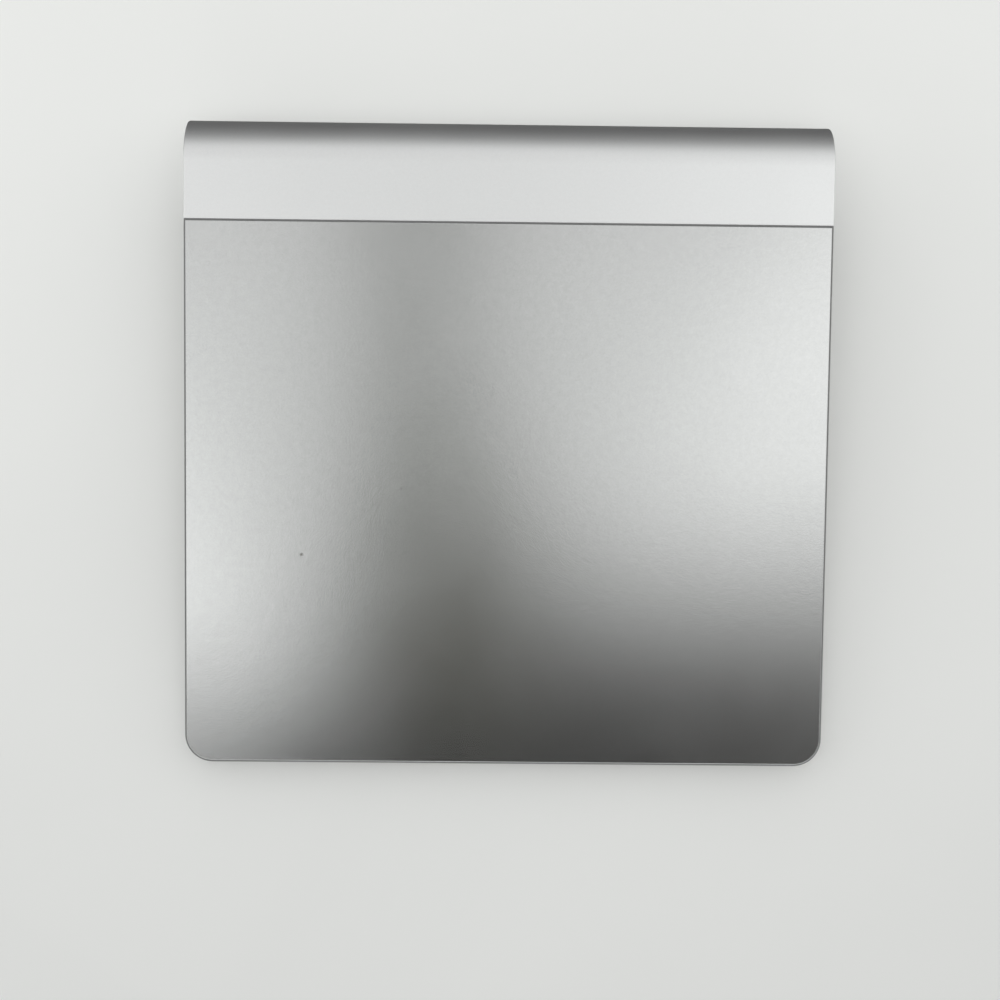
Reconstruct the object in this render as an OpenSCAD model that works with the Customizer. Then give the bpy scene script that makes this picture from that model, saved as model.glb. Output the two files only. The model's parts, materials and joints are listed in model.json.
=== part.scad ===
// Desk trackpad: a sloping aluminium body with a round battery tube along its back edge.
// The frame has +X to the user's right, +Y to the back and +Z up, with the desk at Z = 0.
// Most pieces are placed in the deck frame, which has its origin at the top of the front edge:
// x runs across, u runs back along the slope and n stands square to the touch surface.

/* [Body] */
// Width of the body, side to side, when it holds cells of the standard length
body_width = 130; // [128:0.5:150]
// Depth of the body, front edge to the back of the tube
body_depth = 130.4; // [120:0.1:150]
// Radius of the two front corners, seen from above
corner_radius = 5.6; // [4.5:0.1:8]
// Height of the lower front edge above the desk
front_clearance = 0.9; // [0.7:0.1:2]
// Width of the frame round the electronics bay
frame_width = 4.5; // [4:0.1:6]
// Radius of the front corners of the electronics bay
bay_radius = 2; // [1:0.1:3]
// Width of the ledge that carries the back edge of the glass
ledge_width = 3.4; // [2.5:0.1:5]
// Depth of the rear band, from the seam to the back of the tube
band_depth = 21.3; // [20:0.1:26]

/* [Touch plate] */
// Thickness of the glass touch plate
glass_thickness = 1; // [0.7:0.05:1.5]
// Step from the side of the body to the edge of the glass
glass_inset = 0.3; // [0.2:0.05:0.6]
// Width of the seam between the glass and the rear band
seam_gap = 0.3; // [0.2:0.05:0.5]
// Thickness of the dark adhesive gasket under the rim of the glass
gasket_thickness = 0.2; // [0.15:0.05:0.3]
// Step from the side of the body to the edge of the gasket
gasket_inset = 0.08; // [0.05:0.01:0.15]
// Thickness of the film that bonds the sensor board to the glass
bond_thickness = 0.1; // [0.05:0.01:0.15]
// Thickness of the sensor board
board_thickness = 0.6; // [0.4:0.05:1]
// Gap round the sensor board in its bay
board_clearance = 0.7; // [0.3:0.1:1.5]
// Height of the flex socket on the sensor board
socket_height = 1; // [0.8:0.1:1.2]
// Height of the two main chips under the sensor board
chip_height = 0.9; // [0.6:0.1:1.1]
// Height of the shield can over the radio chip
shield_height = 1.4; // [1.3:0.05:1.6]
// Wall of the shield can
shield_wall = 0.15; // [0.1:0.05:0.2]

/* [Bottom panel] */
// Thickness of the bottom panel
panel_thickness = 0.8; // [0.6:0.05:1.2]
// Step from the side of the body to the edge of the panel
panel_inset = 1.2; // [1:0.1:2]
// Gap round the panel in its recess
panel_gap = 0.1; // [0.05:0.01:0.2]
// Step from the tube to the back edge of the panel
panel_back_step = 2; // [1.5:0.1:3]
// Radius of the back corners of the panel
panel_back_radius = 1.5; // [1:0.1:2.5]
// Thickness of the tape that holds the panel
tape_thickness = 0.1; // [0.05:0.01:0.15]
// Width of the tape
tape_width = 2; // [1:0.1:2.2]

/* [Click feet] */
// Distance from the side of the body to the axis of a front foot
foot_side_inset = 13; // [12:0.1:16]
// Distance from the front edge to the axis of a front foot
foot_front_inset = 12.5; // [12:0.1:16]
// Diameter of the rubber pad of a front foot
foot_pad_diameter = 9.6; // [8.8:0.1:11]
// Radius of the lower edge of the rubber pad
foot_pad_round = 0.6; // [0.3:0.1:0.9]
// Diameter of the plunger stem
foot_stem_diameter = 8.4; // [7.6:0.1:9]
// Gap round the stem in the panel
stem_gap = 0.2; // [0.1:0.05:0.3]
// Width of the plunger's flange beyond its stem
flange_lip = 1; // [0.7:0.1:1.3]
// Thickness of the plunger's flange
flange_thickness = 0.45; // [0.4:0.05:0.8]
// Travel of a front foot when it clicks
click_travel = 0.3; // [0.2:0.05:0.5]
// Spare height that is left at the end of a stroke
stroke_margin = 0.1; // [0.08:0.01:0.2]
// Diameter of the nub that presses the switch
nub_diameter = 1.6; // [1.2:0.1:1.8]
// Width of a click switch
switch_width = 4.4; // [4:0.1:5]
// Thickness of the closed back of a click switch
switch_base = 0.1; // [0.08:0.01:0.2]
// Diameter of the button of a click switch
switch_button_diameter = 2; // [1.9:0.1:2.6]
// Thickness of the button of a click switch
switch_button_thickness = 0.2; // [0.18:0.01:0.3]
// How far the button stands out of its switch at rest
switch_button_proud = 0.1; // [0.05:0.01:0.15]
// Gap round a button in its switch
switch_button_gap = 0.1; // [0.05:0.01:0.15]
// Gap between faces that meet in use but move apart
touch_gap = 0.02; // [0.01:0.01:0.04]
// Thickness of the corner webs that carry the click switches
web_thickness = 0.6; // [0.5:0.05:1]
// Gap between the sensor board and the corner webs
web_gap = 0.1; // [0.05:0.01:0.2]
// Thickness of the flexible circuits
flex_thickness = 0.1; // [0.08:0.01:0.15]
// Thickness of the leaf spring on the plunger
leaf_thickness = 0.2; // [0.15:0.01:0.25]
// Distance from the foot's axis to the screws of its leaf spring
leaf_reach = 11; // [10:0.1:13]
// Distance between the two screws of a leaf spring
leaf_screw_pitch = 4.8; // [4:0.1:5.5]
// Diameter of the shank of a leaf screw
leaf_screw_diameter = 1.1; // [0.9:0.05:1.3]
// Diameter of the head of a leaf screw
leaf_screw_head = 2.2; // [1.8:0.1:2.4]
// Gap round a screw in its hole
screw_gap = 0.05; // [0.02:0.01:0.1]

/* [Rear feet] */
// Length of a rear foot along the tube
rear_foot_length = 16; // [12:0.5:24]
// Width of a rear foot
rear_foot_width = 5; // [4:0.1:5.2]
// How far a rear foot stands below the tube
rear_foot_proud = 0.6; // [0.5:0.05:1]
// Depth of the rear foot's recess in the tube
rear_foot_recess = 0.5; // [0.45:0.05:0.7]
// Distance from the side of the body to the end of a rear foot
rear_foot_inset = 8; // [7:0.5:14]
// Gap round a rear foot in its recess
rear_foot_gap = 0.1; // [0.05:0.01:0.15]

/* [Battery tube] */
// Diameter of one round cell
cell_diameter = 14.2; // [13:0.1:16]
// Length of one cell with its terminal
cell_length = 50.5; // [44:0.1:60]
// Diameter of the cell's terminal
terminal_diameter = 5.5; // [4:0.1:5.5]
// Length of the cell's terminal
terminal_length = 1.3; // [1:0.1:1.6]
// Gap round a cell in the liner
cell_gap = 0.2; // [0.15:0.05:0.4]
// Wall of the liner
liner_wall = 0.25; // [0.2:0.05:0.4]
// Gap round the liner and the end pieces in the tube
liner_gap = 0.05; // [0.02:0.01:0.1]
// Wall of the tube
tube_wall = 1.2; // [1.1:0.05:2]

/* [Battery cap] */
// How far the cap lies below the end of the tube
cap_recess = 0.1; // [0:0.05:0.3]
// Thickness of the head of the cap
cap_head_thickness = 1.8; // [1.5:0.1:2.5]
// Gap round the head of the cap
cap_gap = 0.15; // [0.1:0.05:0.25]
// Gap between the head and the thread ring behind it
seat_gap = 0.05; // [0.02:0.01:0.1]
// Length of the coin slot
coin_slot_length = 9.5; // [8:0.1:11]
// Width of the coin slot
coin_slot_width = 1.8; // [1.4:0.1:2.2]
// Depth of the coin slot
coin_slot_depth = 0.9; // [0.6:0.1:1.2]
// Gap between a cell and the bore of the thread ring
ring_gap = 0.3; // [0.2:0.05:0.4]
// Wall of the thread ring
ring_wall = 0.6; // [0.55:0.05:0.65]
// Pitch of the cap's thread
thread_pitch = 1.5; // [1.4:0.1:1.6]
// Height of the thread
thread_depth = 0.3; // [0.2:0.05:0.35]
// Gap between the cap's skirt and the ring's bore
thread_gap = 0.1; // [0.08:0.01:0.12]
// Turns of thread on the cap
thread_turns = 1.5; // [1:0.5:2]
// Wall of the cap's skirt
skirt_wall = 0.8; // [0.6:0.1:1]
// Diameter of the post that holds the contact's rivet
rivet_post_diameter = 4.4; // [3.6:0.1:5]
// Diameter of the rivet that holds the contact in the cap
rivet_diameter = 2; // [1.6:0.1:2.4]
// Gap round the rivet in its hole
rivet_gap = 0.05; // [0.02:0.01:0.08]
// Gap round the contact disc in the cap
contact_disc_gap = 0.7; // [0.3:0.1:1.2]
// Thickness of the contact sheet
contact_sheet = 0.3; // [0.2:0.05:0.4]
// Height of the sprung cone between the cap and the cells
cap_spring_height = 2.4; // [1.8:0.1:3]
// Diameter at the tip of a sprung cone
spring_tip_diameter = 4.4; // [3.6:0.1:5]

/* [Power button] */
// Gap round the power button in the tube
button_gap = 0.2; // [0.12:0.01:0.3]
// How far the button lies below the end of the tube
button_recess = 0.15; // [0:0.05:0.4]
// Thickness of the button's cap
button_thickness = 1.6; // [1.2:0.1:2.5]
// Depth of the shallow dish in the button's face
button_dish = 0.35; // [0.1:0.05:0.5]
// Width of the flat rim round the dish
button_rim = 0.6; // [0.3:0.1:1.5]
// Travel of the power button
button_travel = 0.5; // [0.3:0.05:0.8]
// Spare travel that is left behind the button
button_margin = 0.3; // [0.2:0.05:0.5]
// Diameter of the button's stem
button_stem_diameter = 4; // [3.5:0.1:5]
// Depth of the step on the stem that the clip sits against
button_stem_step = 0.5; // [0.3:0.05:0.7]
// Gap round the stem in its guide
button_stem_gap = 0.06; // [0.03:0.01:0.1]
// Thickness of the guide plate
guide_thickness = 2; // [1.6:0.1:3]
// Thickness of the clip on the stem
clip_thickness = 0.4; // [0.3:0.05:0.6]
// Diameter of the clip on the stem
clip_diameter = 6.4; // [5.8:0.1:7]
// Length of the stem behind its clip
stem_tail = 0.8; // [0.6:0.1:1.2]
// Height of the terminal spring at the inner end of the cells
terminal_spring_height = 2; // [1.6:0.1:2.6]
// Diameter of the terminal spring's disc
terminal_disc_diameter = 8; // [7:0.1:10]
// Width of the terminal spring's tail
terminal_tail_width = 2; // [1.4:0.1:2.4]
// Thickness of the inner wall of the end carrier
carrier_wall = 2; // [1.5:0.1:2.4]
// Width of the power switch
power_switch_width = 4.4; // [4:0.1:5]
// Height of the power switch
power_switch_height = 3.5; // [3:0.1:4]
// Length of the power switch along the tube
power_switch_length = 2.5; // [2.2:0.1:3]
// Diameter of the button of the power switch
power_switch_button_diameter = 2; // [1.6:0.1:2.4]
// Thickness of the power board
power_board_thickness = 0.8; // [0.6:0.1:1]
// Width of the power board
power_board_width = 10; // [9.6:0.1:11]
// Width of the flex between the two boards
power_flex_width = 6; // [5:0.1:6.5]
// Diameter of the light guide over the status lamp
light_guide_diameter = 1.6; // [1.2:0.1:1.8]
// Diameter of the shank of a guide screw
guide_screw_diameter = 1.1; // [0.9:0.05:1.2]
// Diameter of the head of a guide screw
guide_screw_head = 1.8; // [1.6:0.1:1.9]
// Length of a guide screw
guide_screw_length = 5; // [4:0.1:6]

/* [Hidden] */
$fn = 64;

// Length that takes a cutting solid safely past a face
past = 1;
// Least radius of a rounded inner corner
least_radius = 0.3;

// Layers through the sloping slab, counted down from the touch surface
glass_bottom = -glass_thickness;
bond_bottom = glass_bottom - bond_thickness;
board_bottom = bond_bottom - board_thickness;
ledge_top = glass_bottom - gasket_thickness;
web_top = board_bottom - web_gap;
web_bottom = web_top - web_thickness;
flex_bottom = web_bottom - flex_thickness;
switch_well = click_travel + switch_button_thickness - switch_button_proud + touch_gap;
switch_bottom = flex_bottom - switch_base - switch_well;
flange_top = switch_bottom - click_travel - stroke_margin;
panel_top = flange_top - flange_thickness;
panel_bottom = panel_top - panel_thickness;
tape_top = panel_top + tape_thickness;
slab_thickness = -panel_bottom;

// Round sizes of the battery tube, from the cell outwards
liner_inside = cell_diameter + 2 * cell_gap;
liner_outside = liner_inside + 2 * liner_wall;
bore_diameter = liner_outside + 2 * liner_gap;
bore_radius = bore_diameter / 2;
tube_radius = bore_radius + tube_wall;
ring_bore = cell_diameter + 2 * ring_gap;
ring_outside = ring_bore + 2 * ring_wall;
skirt_radius = ring_bore / 2 - thread_gap;
skirt_inside = 2 * (skirt_radius - skirt_wall);
contact_disc_diameter = skirt_inside - 2 * contact_disc_gap;

// The body is as much wider as its two cells are longer than the standard length
standard_cell_length = 50.5;
half_width = body_width / 2 + cell_length - standard_cell_length;

// Slope of the deck: its underside meets the front clearance, and its top runs on to the tube.
// The tube's crown stands a hair above the deck, so that the two surfaces cross cleanly.
tube_crown = 0.01;
tube_y = body_depth / 2 - tube_radius;
tube_z = rear_foot_proud + tube_radius;
function slope(run) = let (rise = tube_z - front_clearance)
    atan2(rise, run) + asin((tube_radius - slab_thickness - tube_crown) / norm([run, rise]));
tube_run = body_depth - tube_radius;
front_face_height = slab_thickness + ledge_top;
deck_angle = slope(tube_run - front_face_height * sin(slope(tube_run)));
deck_y = ledge_top * sin(deck_angle) - body_depth / 2;
deck_z = front_clearance + slab_thickness * cos(deck_angle);
function to_deck(y, z) = let (v = y - deck_y, w = z - deck_z)
    [v * cos(deck_angle) + w * sin(deck_angle), w * cos(deck_angle) - v * sin(deck_angle)];
function to_world(u, n) = [u * cos(deck_angle) - n * sin(deck_angle) + deck_y,
    u * sin(deck_angle) + n * cos(deck_angle) + deck_z];
tube_u = to_deck(tube_y, tube_z)[0];
tube_n = to_deck(tube_y, tube_z)[1];
seam_u = (body_depth / 2 - band_depth - deck_y) / cos(deck_angle);

// The electronics bay and the board in it
bay_half = half_width - frame_width;
bay_back = seam_u - ledge_width;
board_half = bay_half - board_clearance;
board_front = frame_width + board_clearance;
board_back = bay_back - board_clearance;

// Parts under the sensor board, each with its length and width. Their places are [x, u], stepped
// from the controller at the board's middle, or from the board's right-hand back corner.
board_middle = [0, (board_front + board_back) / 2];
board_corner = [board_half, board_back];
controller_size = [8, 8];
radio_step = [36, 38];
radio_place = board_corner - radio_step;
radio_size = [7, 7];
shield_size = [16, 13];
memory_step = [-18, 4];
memory_size = [5, 5, 0.8];
regulator_step = [12, 15];
regulator_size = [4, 3, 0.7];
crystal_step = [-3, 16];
crystal_size = [3.2, 2.5, 0.7];
capacitor_step = [0, -12];
capacitor_size = [1.6, 0.8, 0.5];
capacitor_pitch = 4;
capacitor_count = 7;
antenna_step = [15, 20];
antenna_place = board_corner - antenna_step;
antenna_length = 18;
antenna_leg = 7;
antenna_width = 2;
antenna_height = 0.3;
socket_depth = 4;
socket_back_step = 1;
socket_overhang = 0.4;

// The bottom panel ends before the tube leaves the underside of the slab
tube_reach = tube_n - panel_bottom;
tube_foot_u = tube_u - sqrt(tube_radius * tube_radius - tube_reach * tube_reach);
panel_back = tube_foot_u - panel_back_step;

// Click feet, drawn on the right and mirrored to the left
foot_x = half_width - foot_side_inset;
foot_u = foot_front_inset;
stem_bottom = panel_bottom - click_travel - stroke_margin;
flange_radius = foot_stem_diameter / 2 + flange_lip;
leaf_bottom = flange_top + touch_gap;
leaf_top = leaf_bottom + leaf_thickness;
leaf_edge = 0.4;
leaf_ring_inside = switch_width * sqrt(2) / 2 + leaf_edge;
leaf_arm_half = leaf_screw_pitch / 2 + leaf_screw_head / 2 + leaf_edge;
leaf_arm_end = leaf_reach + leaf_screw_head / 2 + leaf_edge;
web_inner_x = foot_x - leaf_arm_end;
web_margin = 1;
web_back = foot_u + flange_radius + web_margin;
head_clearance = 0.08;
leaf_screw_head_height = flange_thickness - touch_gap - head_clearance;
leaf_screw_top = web_top - web_gap;
switch_flex_width = 3;
switch_flex_loop = 3;
switch_flex_back = web_back + switch_flex_loop;

// Places along the battery tube, from the left end to the right end
thread_foot = 0.4;
thread_tip = 0.15;
thread_steps = 24;
thread_run = thread_pitch * (1 + thread_turns) + thread_foot;
cap_start = -half_width + cap_recess;
cap_head_end = cap_start + cap_head_thickness;
ring_start = cap_head_end + seat_gap;
skirt_end = ring_start + thread_run + thread_gap;
ring_end = skirt_end + thread_gap;
contact_depth = 0.55;
contact_disc_end = skirt_end - contact_depth;
contact_disc_start = contact_disc_end - contact_sheet;
rivet_hole_floor = 0.5;
rivet_hole_start = cap_head_end + rivet_hole_floor;
cells_start = contact_disc_end + cap_spring_height;
cells_middle = cells_start + cell_length;
cells_end = cells_middle + cell_length;
carrier_start = cells_end + terminal_spring_height;
power_bay_start = carrier_start + carrier_wall;
button_face = half_width - button_recess;
button_back = button_face - button_thickness;
guide_end = button_back - button_travel - button_margin;
guide_start = guide_end - guide_thickness;
clip_end = guide_start - touch_gap;
clip_start = clip_end - clip_thickness;
clip_bore = button_stem_diameter - 2 * button_stem_step;
stem_end = clip_start - stem_tail;
power_switch_end = stem_end - touch_gap - button_travel - stroke_margin;
power_switch_start = power_switch_end - power_switch_length;

// Pieces on the power board, which lies below the axis of the tube
power_board_top = tube_n - power_switch_height / 2;
power_board_bottom = power_board_top - power_board_thickness;
power_board_start = power_bay_start + board_clearance / 2;
terminal_tail_length = 1.5;
power_flex_side = 1;
power_flex_edge = 0.5;
power_flex_x = power_bay_start + power_flex_side + power_flex_width / 2;
power_flex_u = tube_u - power_board_width / 2 + power_flex_edge;
power_flex_top = board_bottom - socket_height;
power_socket_depth = 1.6;
power_socket_height = 1.4;
flex_slot_side = 0.5;
flex_slot_height = 1.1;
led_inset = 5;
led_x = power_bay_start + led_inset;
led_offset = 2.5;
led_size = [1.6, 0.8, 0.6];
light_guide_gap = 0.5;
light_guide_top = tube_n + sqrt(bore_radius * bore_radius - led_offset * led_offset) - light_guide_gap;
guide_screw_angle = 50;
guide_screw_wall = 0.1;
guide_screw_radius = liner_outside / 2 - guide_screw_head / 2 - screw_gap - guide_screw_wall;
guide_screw_head_height = 0.7;

// Colours, as the photograph shows them or as such pieces are made
silver = [0.80, 0.81, 0.81];
glass_silver = [0.72, 0.73, 0.73];
gasket_black = [0.13, 0.13, 0.13];
panel_white = [0.93, 0.93, 0.92];
foot_grey = [0.75, 0.76, 0.76];
board_green = [0.10, 0.30, 0.20];
flex_amber = [0.75, 0.48, 0.15];
chip_black = [0.12, 0.12, 0.13];
steel = [0.62, 0.62, 0.60];
plastic_black = [0.16, 0.16, 0.17];
cell_green = [0.35, 0.55, 0.40];
clear_white = [0.90, 0.92, 0.92];

// Puts its children in the deck frame
module in_deck() {
    translate([0, deck_y, deck_z])
        rotate([deck_angle, 0, 0])
            children();
}

// A block in the deck frame between two corners
module block(low, high) {
    translate(low)
        cube(high - low);
}

// A round rod along the tube's axis, in the deck frame
module rod(diameter, start, end) {
    translate([start, tube_u, tube_n])
        rotate([0, 90, 0])
            cylinder(d = diameter, h = end - start);
}

// A round post that stands along n, in the deck frame
module post(diameter, x, u, low, high) {
    translate([x, u, low])
        cylinder(d = diameter, h = high - low);
}

// Outline with two round front corners, seen from above
module front_rounded(half, front, back, radius) {
    translate([-half, front + radius])
        square([2 * half, back - front - radius]);
    translate([-half + radius, front])
        square([2 * (half - radius), back - front]);
    for (side = [-1, 1])
        translate([side * (half - radius), front + radius])
            circle(radius);
}

// Outline with four round corners, the front pair and the back pair each with its own radius
module all_rounded(half, front, back, front_radius, back_radius) {
    front_rounded(half, front, back - back_radius, front_radius);
    translate([-half + back_radius, front + front_radius])
        square([2 * (half - back_radius), back - front - front_radius]);
    for (side = [-1, 1])
        translate([side * (half - back_radius), back - back_radius])
            circle(back_radius);
}

// A flat plate in the deck frame between two levels
module layer(low, high) {
    translate([0, 0, low])
        linear_extrude(high - low)
            children();
}

// Draws its children on the right-hand side, or mirrored to the left
module on_side(side) {
    mirror([side < 0 ? 1 : 0, 0, 0])
        children();
}

// Outline of the bottom panel, grown by a margin
module panel_outline(margin) {
    front_radius = max(corner_radius - panel_inset + margin, least_radius);
    back_radius = max(panel_back_radius + margin, least_radius);
    all_rounded(half_width - panel_inset + margin, panel_inset - margin, panel_back + margin,
        front_radius, back_radius);
}

// Outline of the electronics bay
module bay_outline() {
    front_rounded(bay_half, frame_width, bay_back, bay_radius);
}

// Outline of the sensor board and its bond film
module board_outline() {
    front_rounded(board_half, board_front, board_back, bay_radius);
}

// Places of the two screws of the right-hand leaf spring
module leaf_screw_places() {
    for (along = [-0.5, 0.5])
        translate([foot_x - leaf_reach, foot_u + along * leaf_screw_pitch, 0])
            children();
}

// Web and boss in the right-hand front corner that carry the click switch and its leaf spring
module corner_web() {
    difference() {
        union() {
            block([web_inner_x, frame_width - past, web_bottom], [bay_half + past, web_back, web_top]);
            block([web_inner_x, foot_u - leaf_arm_half, leaf_top],
                [foot_x - leaf_reach + leaf_screw_head / 2, foot_u + leaf_arm_half, web_bottom]);
        }
        leaf_screw_places()
            post(leaf_screw_diameter + 2 * screw_gap, 0, 0, leaf_top - past, web_top + past);
    }
}

// Stadium outline of a rear foot, grown by a margin
module rear_foot_outline(margin) {
    straight = rear_foot_length - rear_foot_width;
    translate([-straight / 2, -rear_foot_width / 2 - margin])
        square([straight, rear_foot_width + 2 * margin]);
    for (end = [-0.5, 0.5])
        translate([end * straight, 0])
            circle(d = rear_foot_width + 2 * margin);
}

// Puts its children under the tube at the place of the right-hand rear foot
module at_rear_foot() {
    translate([half_width - rear_foot_inset - rear_foot_length / 2, tube_y, 0])
        children();
}

// Section of the thread as a list of [radius, step] corners, grown by a margin
function thread_section(root, crest, margin) = [[root, -thread_foot - margin], [crest, -thread_tip - margin],
    [crest, thread_tip + margin], [root, thread_foot + margin]];

// Swept ridge of a right-handed screw thread about the tube's axis
module thread(section, start, turns) {
    rings = round(turns * thread_steps);
    corners = len(section);
    points = [for (i = [0:rings]) for (corner = section) let (turn = 360 * i / thread_steps)
        [start + thread_pitch * i / thread_steps + corner[1], corner[0] * cos(turn), corner[0] * sin(turn)]];
    walls = [for (i = [0:rings - 1]) for (j = [0:corners - 1])
        each let (p = i * corners + j, q = i * corners + (j + 1) % corners)
            [[p, q, q + corners], [p, q + corners, p + corners]]];
    first = [for (j = [corners - 1:-1:0]) j];
    last = [for (j = [0:corners - 1]) rings * corners + j];
    translate([0, tube_u, tube_n])
        polyhedron(points, concat([first], walls, [last]));
}

// Dished sheet that springs from a disc at one place to a tip at another, along the tube's axis
module sprung_cone(disc_diameter, disc_x, tip_x) {
    foot = disc_diameter / 2 - contact_sheet;
    tip = spring_tip_diameter / 2;
    height = abs(tip_x - disc_x);
    translate([disc_x, tube_u, tube_n])
        rotate([0, tip_x > disc_x ? 90 : -90, 0])
            rotate_extrude()
                polygon([[foot, -contact_sheet / 2], [foot, contact_sheet / 2], [tip, height],
                    [tip - contact_sheet, height], [foot - contact_sheet, -contact_sheet / 2]]);
}

// Everything cut from the enclosure in the deck frame
module enclosure_cuts() {
    block([-half_width - past, -past, ledge_top], [half_width + past, seam_u, past]);
    layer(tape_top - past, ledge_top + past)
        bay_outline();
    layer(panel_bottom - past, tape_top)
        panel_outline(panel_gap);
    rod(bore_diameter, -half_width - past, half_width + past);
    rod(ring_outside, -half_width - past, ring_end);
    block([power_flex_x - power_flex_width / 2 - flex_slot_side, bay_back - past,
            power_flex_top - flex_slot_height / 2],
        [power_flex_x + power_flex_width / 2 + flex_slot_side, power_flex_u + past,
            power_flex_top + flex_slot_height / 2]);
}

module enclosure() {
    color(silver) {
        difference() {
            in_deck() {
                layer(panel_bottom, 0)
                    front_rounded(half_width, 0, tube_u, corner_radius);
                rod(2 * tube_radius, -half_width, half_width);
            }
            in_deck()
                enclosure_cuts();
            for (side = [-1, 1])
                on_side(side)
                    at_rear_foot()
                        translate([0, 0, -past])
                            linear_extrude(past + rear_foot_proud + rear_foot_recess)
                                rear_foot_outline(rear_foot_gap);
        }
        for (side = [-1, 1])
            on_side(side)
                in_deck()
                    corner_web();
    }
}

module touch_glass() {
    color(glass_silver)
        in_deck()
            layer(glass_bottom, 0)
                front_rounded(half_width - glass_inset, glass_inset, seam_u - seam_gap,
                    corner_radius - glass_inset);
}

module glass_gasket() {
    color(gasket_black)
        in_deck()
            layer(ledge_top, glass_bottom)
                difference() {
                    front_rounded(half_width - gasket_inset, gasket_inset, seam_u,
                        corner_radius - gasket_inset);
                    bay_outline();
                }
}

module bond_film() {
    color(clear_white)
        in_deck()
            layer(bond_bottom, glass_bottom)
                board_outline();
}

module sensor_board() {
    color(board_green)
        in_deck()
            layer(board_bottom, bond_bottom)
                board_outline();
}

// A part soldered under the sensor board, centred on its place
module under_board(place, length, width, height) {
    in_deck()
        block([place[0] - length / 2, place[1] - width / 2, board_bottom - height],
            [place[0] + length / 2, place[1] + width / 2, board_bottom]);
}

module touch_controller() {
    color(chip_black)
        under_board(board_middle, controller_size[0], controller_size[1], chip_height);
}

module radio_chip() {
    color(chip_black)
        under_board(radio_place, radio_size[0], radio_size[1], chip_height);
}

module radio_shield() {
    inside = [shield_size[0] - 2 * shield_wall, shield_size[1] - 2 * shield_wall];
    color(steel)
        difference() {
            under_board(radio_place, shield_size[0], shield_size[1], shield_height);
            in_deck()
                block([radio_place[0] - inside[0] / 2, radio_place[1] - inside[1] / 2,
                        board_bottom - shield_height + shield_wall],
                    [radio_place[0] + inside[0] / 2, radio_place[1] + inside[1] / 2, board_bottom + past]);
        }
}

module board_chips() {
    color(chip_black) {
        under_board(board_middle + memory_step, memory_size[0], memory_size[1], memory_size[2]);
        under_board(board_middle + regulator_step, regulator_size[0], regulator_size[1], regulator_size[2]);
        under_board(board_middle + crystal_step, crystal_size[0], crystal_size[1], crystal_size[2]);
        for (i = [0:capacitor_count - 1])
            under_board(board_middle + capacitor_step
                    + [(i - (capacitor_count - 1) / 2) * capacitor_pitch, 0],
                capacitor_size[0], capacitor_size[1], capacitor_size[2]);
    }
}

module antenna() {
    color(steel) {
        under_board(antenna_place, antenna_length, antenna_width, antenna_height);
        under_board(antenna_place - [antenna_length - antenna_width, antenna_leg] / 2,
            antenna_width, antenna_leg + antenna_width, antenna_height);
    }
}

module sensor_socket() {
    middle = board_back - socket_back_step - socket_depth / 2;
    color(plastic_black)
        under_board([power_flex_x, middle], power_flex_width + 2 * socket_overhang, socket_depth,
            socket_height);
}

// Flexible circuit from the sensor board, through the tube's wall and down to the power board
module power_flex() {
    low_x = power_flex_x - power_flex_width / 2;
    high_x = power_flex_x + power_flex_width / 2;
    color(flex_amber)
        in_deck() {
            block([low_x, board_back - socket_back_step - socket_depth, power_flex_top - flex_thickness],
                [high_x, power_flex_u, power_flex_top]);
            block([low_x, power_flex_u - flex_thickness, power_board_top],
                [high_x, power_flex_u, power_flex_top]);
        }
}

module bottom_panel() {
    color(panel_white)
        in_deck()
            difference() {
                layer(panel_bottom, panel_top)
                    panel_outline(0);
                for (side = [-1, 1])
                    post(foot_stem_diameter + 2 * stem_gap, side * foot_x, foot_u,
                        panel_bottom - past, panel_top + past);
            }
}

module panel_tape() {
    color(gasket_black)
        in_deck()
            layer(panel_top, tape_top)
                difference() {
                    panel_outline(0);
                    panel_outline(-tape_width);
                }
}

module rear_foot(side) {
    color(foot_grey)
        on_side(side)
            at_rear_foot()
                linear_extrude(rear_foot_proud + rear_foot_recess)
                    rear_foot_outline(0);
}

// Rubber pad of a front foot: flat on the desk, and cut to the slope under its plunger
module front_foot(side) {
    middle = to_world(foot_u, stem_bottom);
    radius = foot_pad_diameter / 2;
    height = middle[1] + radius * tan(deck_angle) + past;
    color(foot_grey)
        on_side(side)
            intersection() {
                translate([foot_x, middle[0], 0])
                    rotate_extrude() {
                        square([radius - foot_pad_round, height]);
                        translate([0, foot_pad_round])
                            square([radius, height - foot_pad_round]);
                        translate([radius - foot_pad_round, foot_pad_round])
                            circle(foot_pad_round);
                    }
                in_deck()
                    block([foot_x - foot_pad_diameter, foot_u - foot_pad_diameter, stem_bottom - 2 * height],
                        [foot_x + foot_pad_diameter, foot_u + foot_pad_diameter, stem_bottom]);
            }
}

module foot_plunger(side) {
    nub_top = switch_bottom - switch_button_proud - touch_gap;
    color(clear_white)
        on_side(side)
            in_deck() {
                post(foot_stem_diameter, foot_x, foot_u, stem_bottom, flange_top);
                post(2 * flange_radius, foot_x, foot_u, panel_top, flange_top);
                post(nub_diameter, foot_x, foot_u, panel_top, nub_top);
            }
}

// Sprung leaf: a ring on the plunger's flange and an arm to two screws
module click_leaf(side) {
    color(steel)
        on_side(side)
            in_deck()
                difference() {
                    union() {
                        post(2 * flange_radius, foot_x, foot_u, leaf_bottom, leaf_top);
                        block([web_inner_x, foot_u - leaf_arm_half, leaf_bottom],
                            [foot_x, foot_u + leaf_arm_half, leaf_top]);
                    }
                    post(2 * leaf_ring_inside, foot_x, foot_u, leaf_bottom - past, leaf_top + past);
                    leaf_screw_places()
                        post(leaf_screw_diameter + 2 * screw_gap, 0, 0, leaf_bottom - past, leaf_top + past);
                }
}

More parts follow.
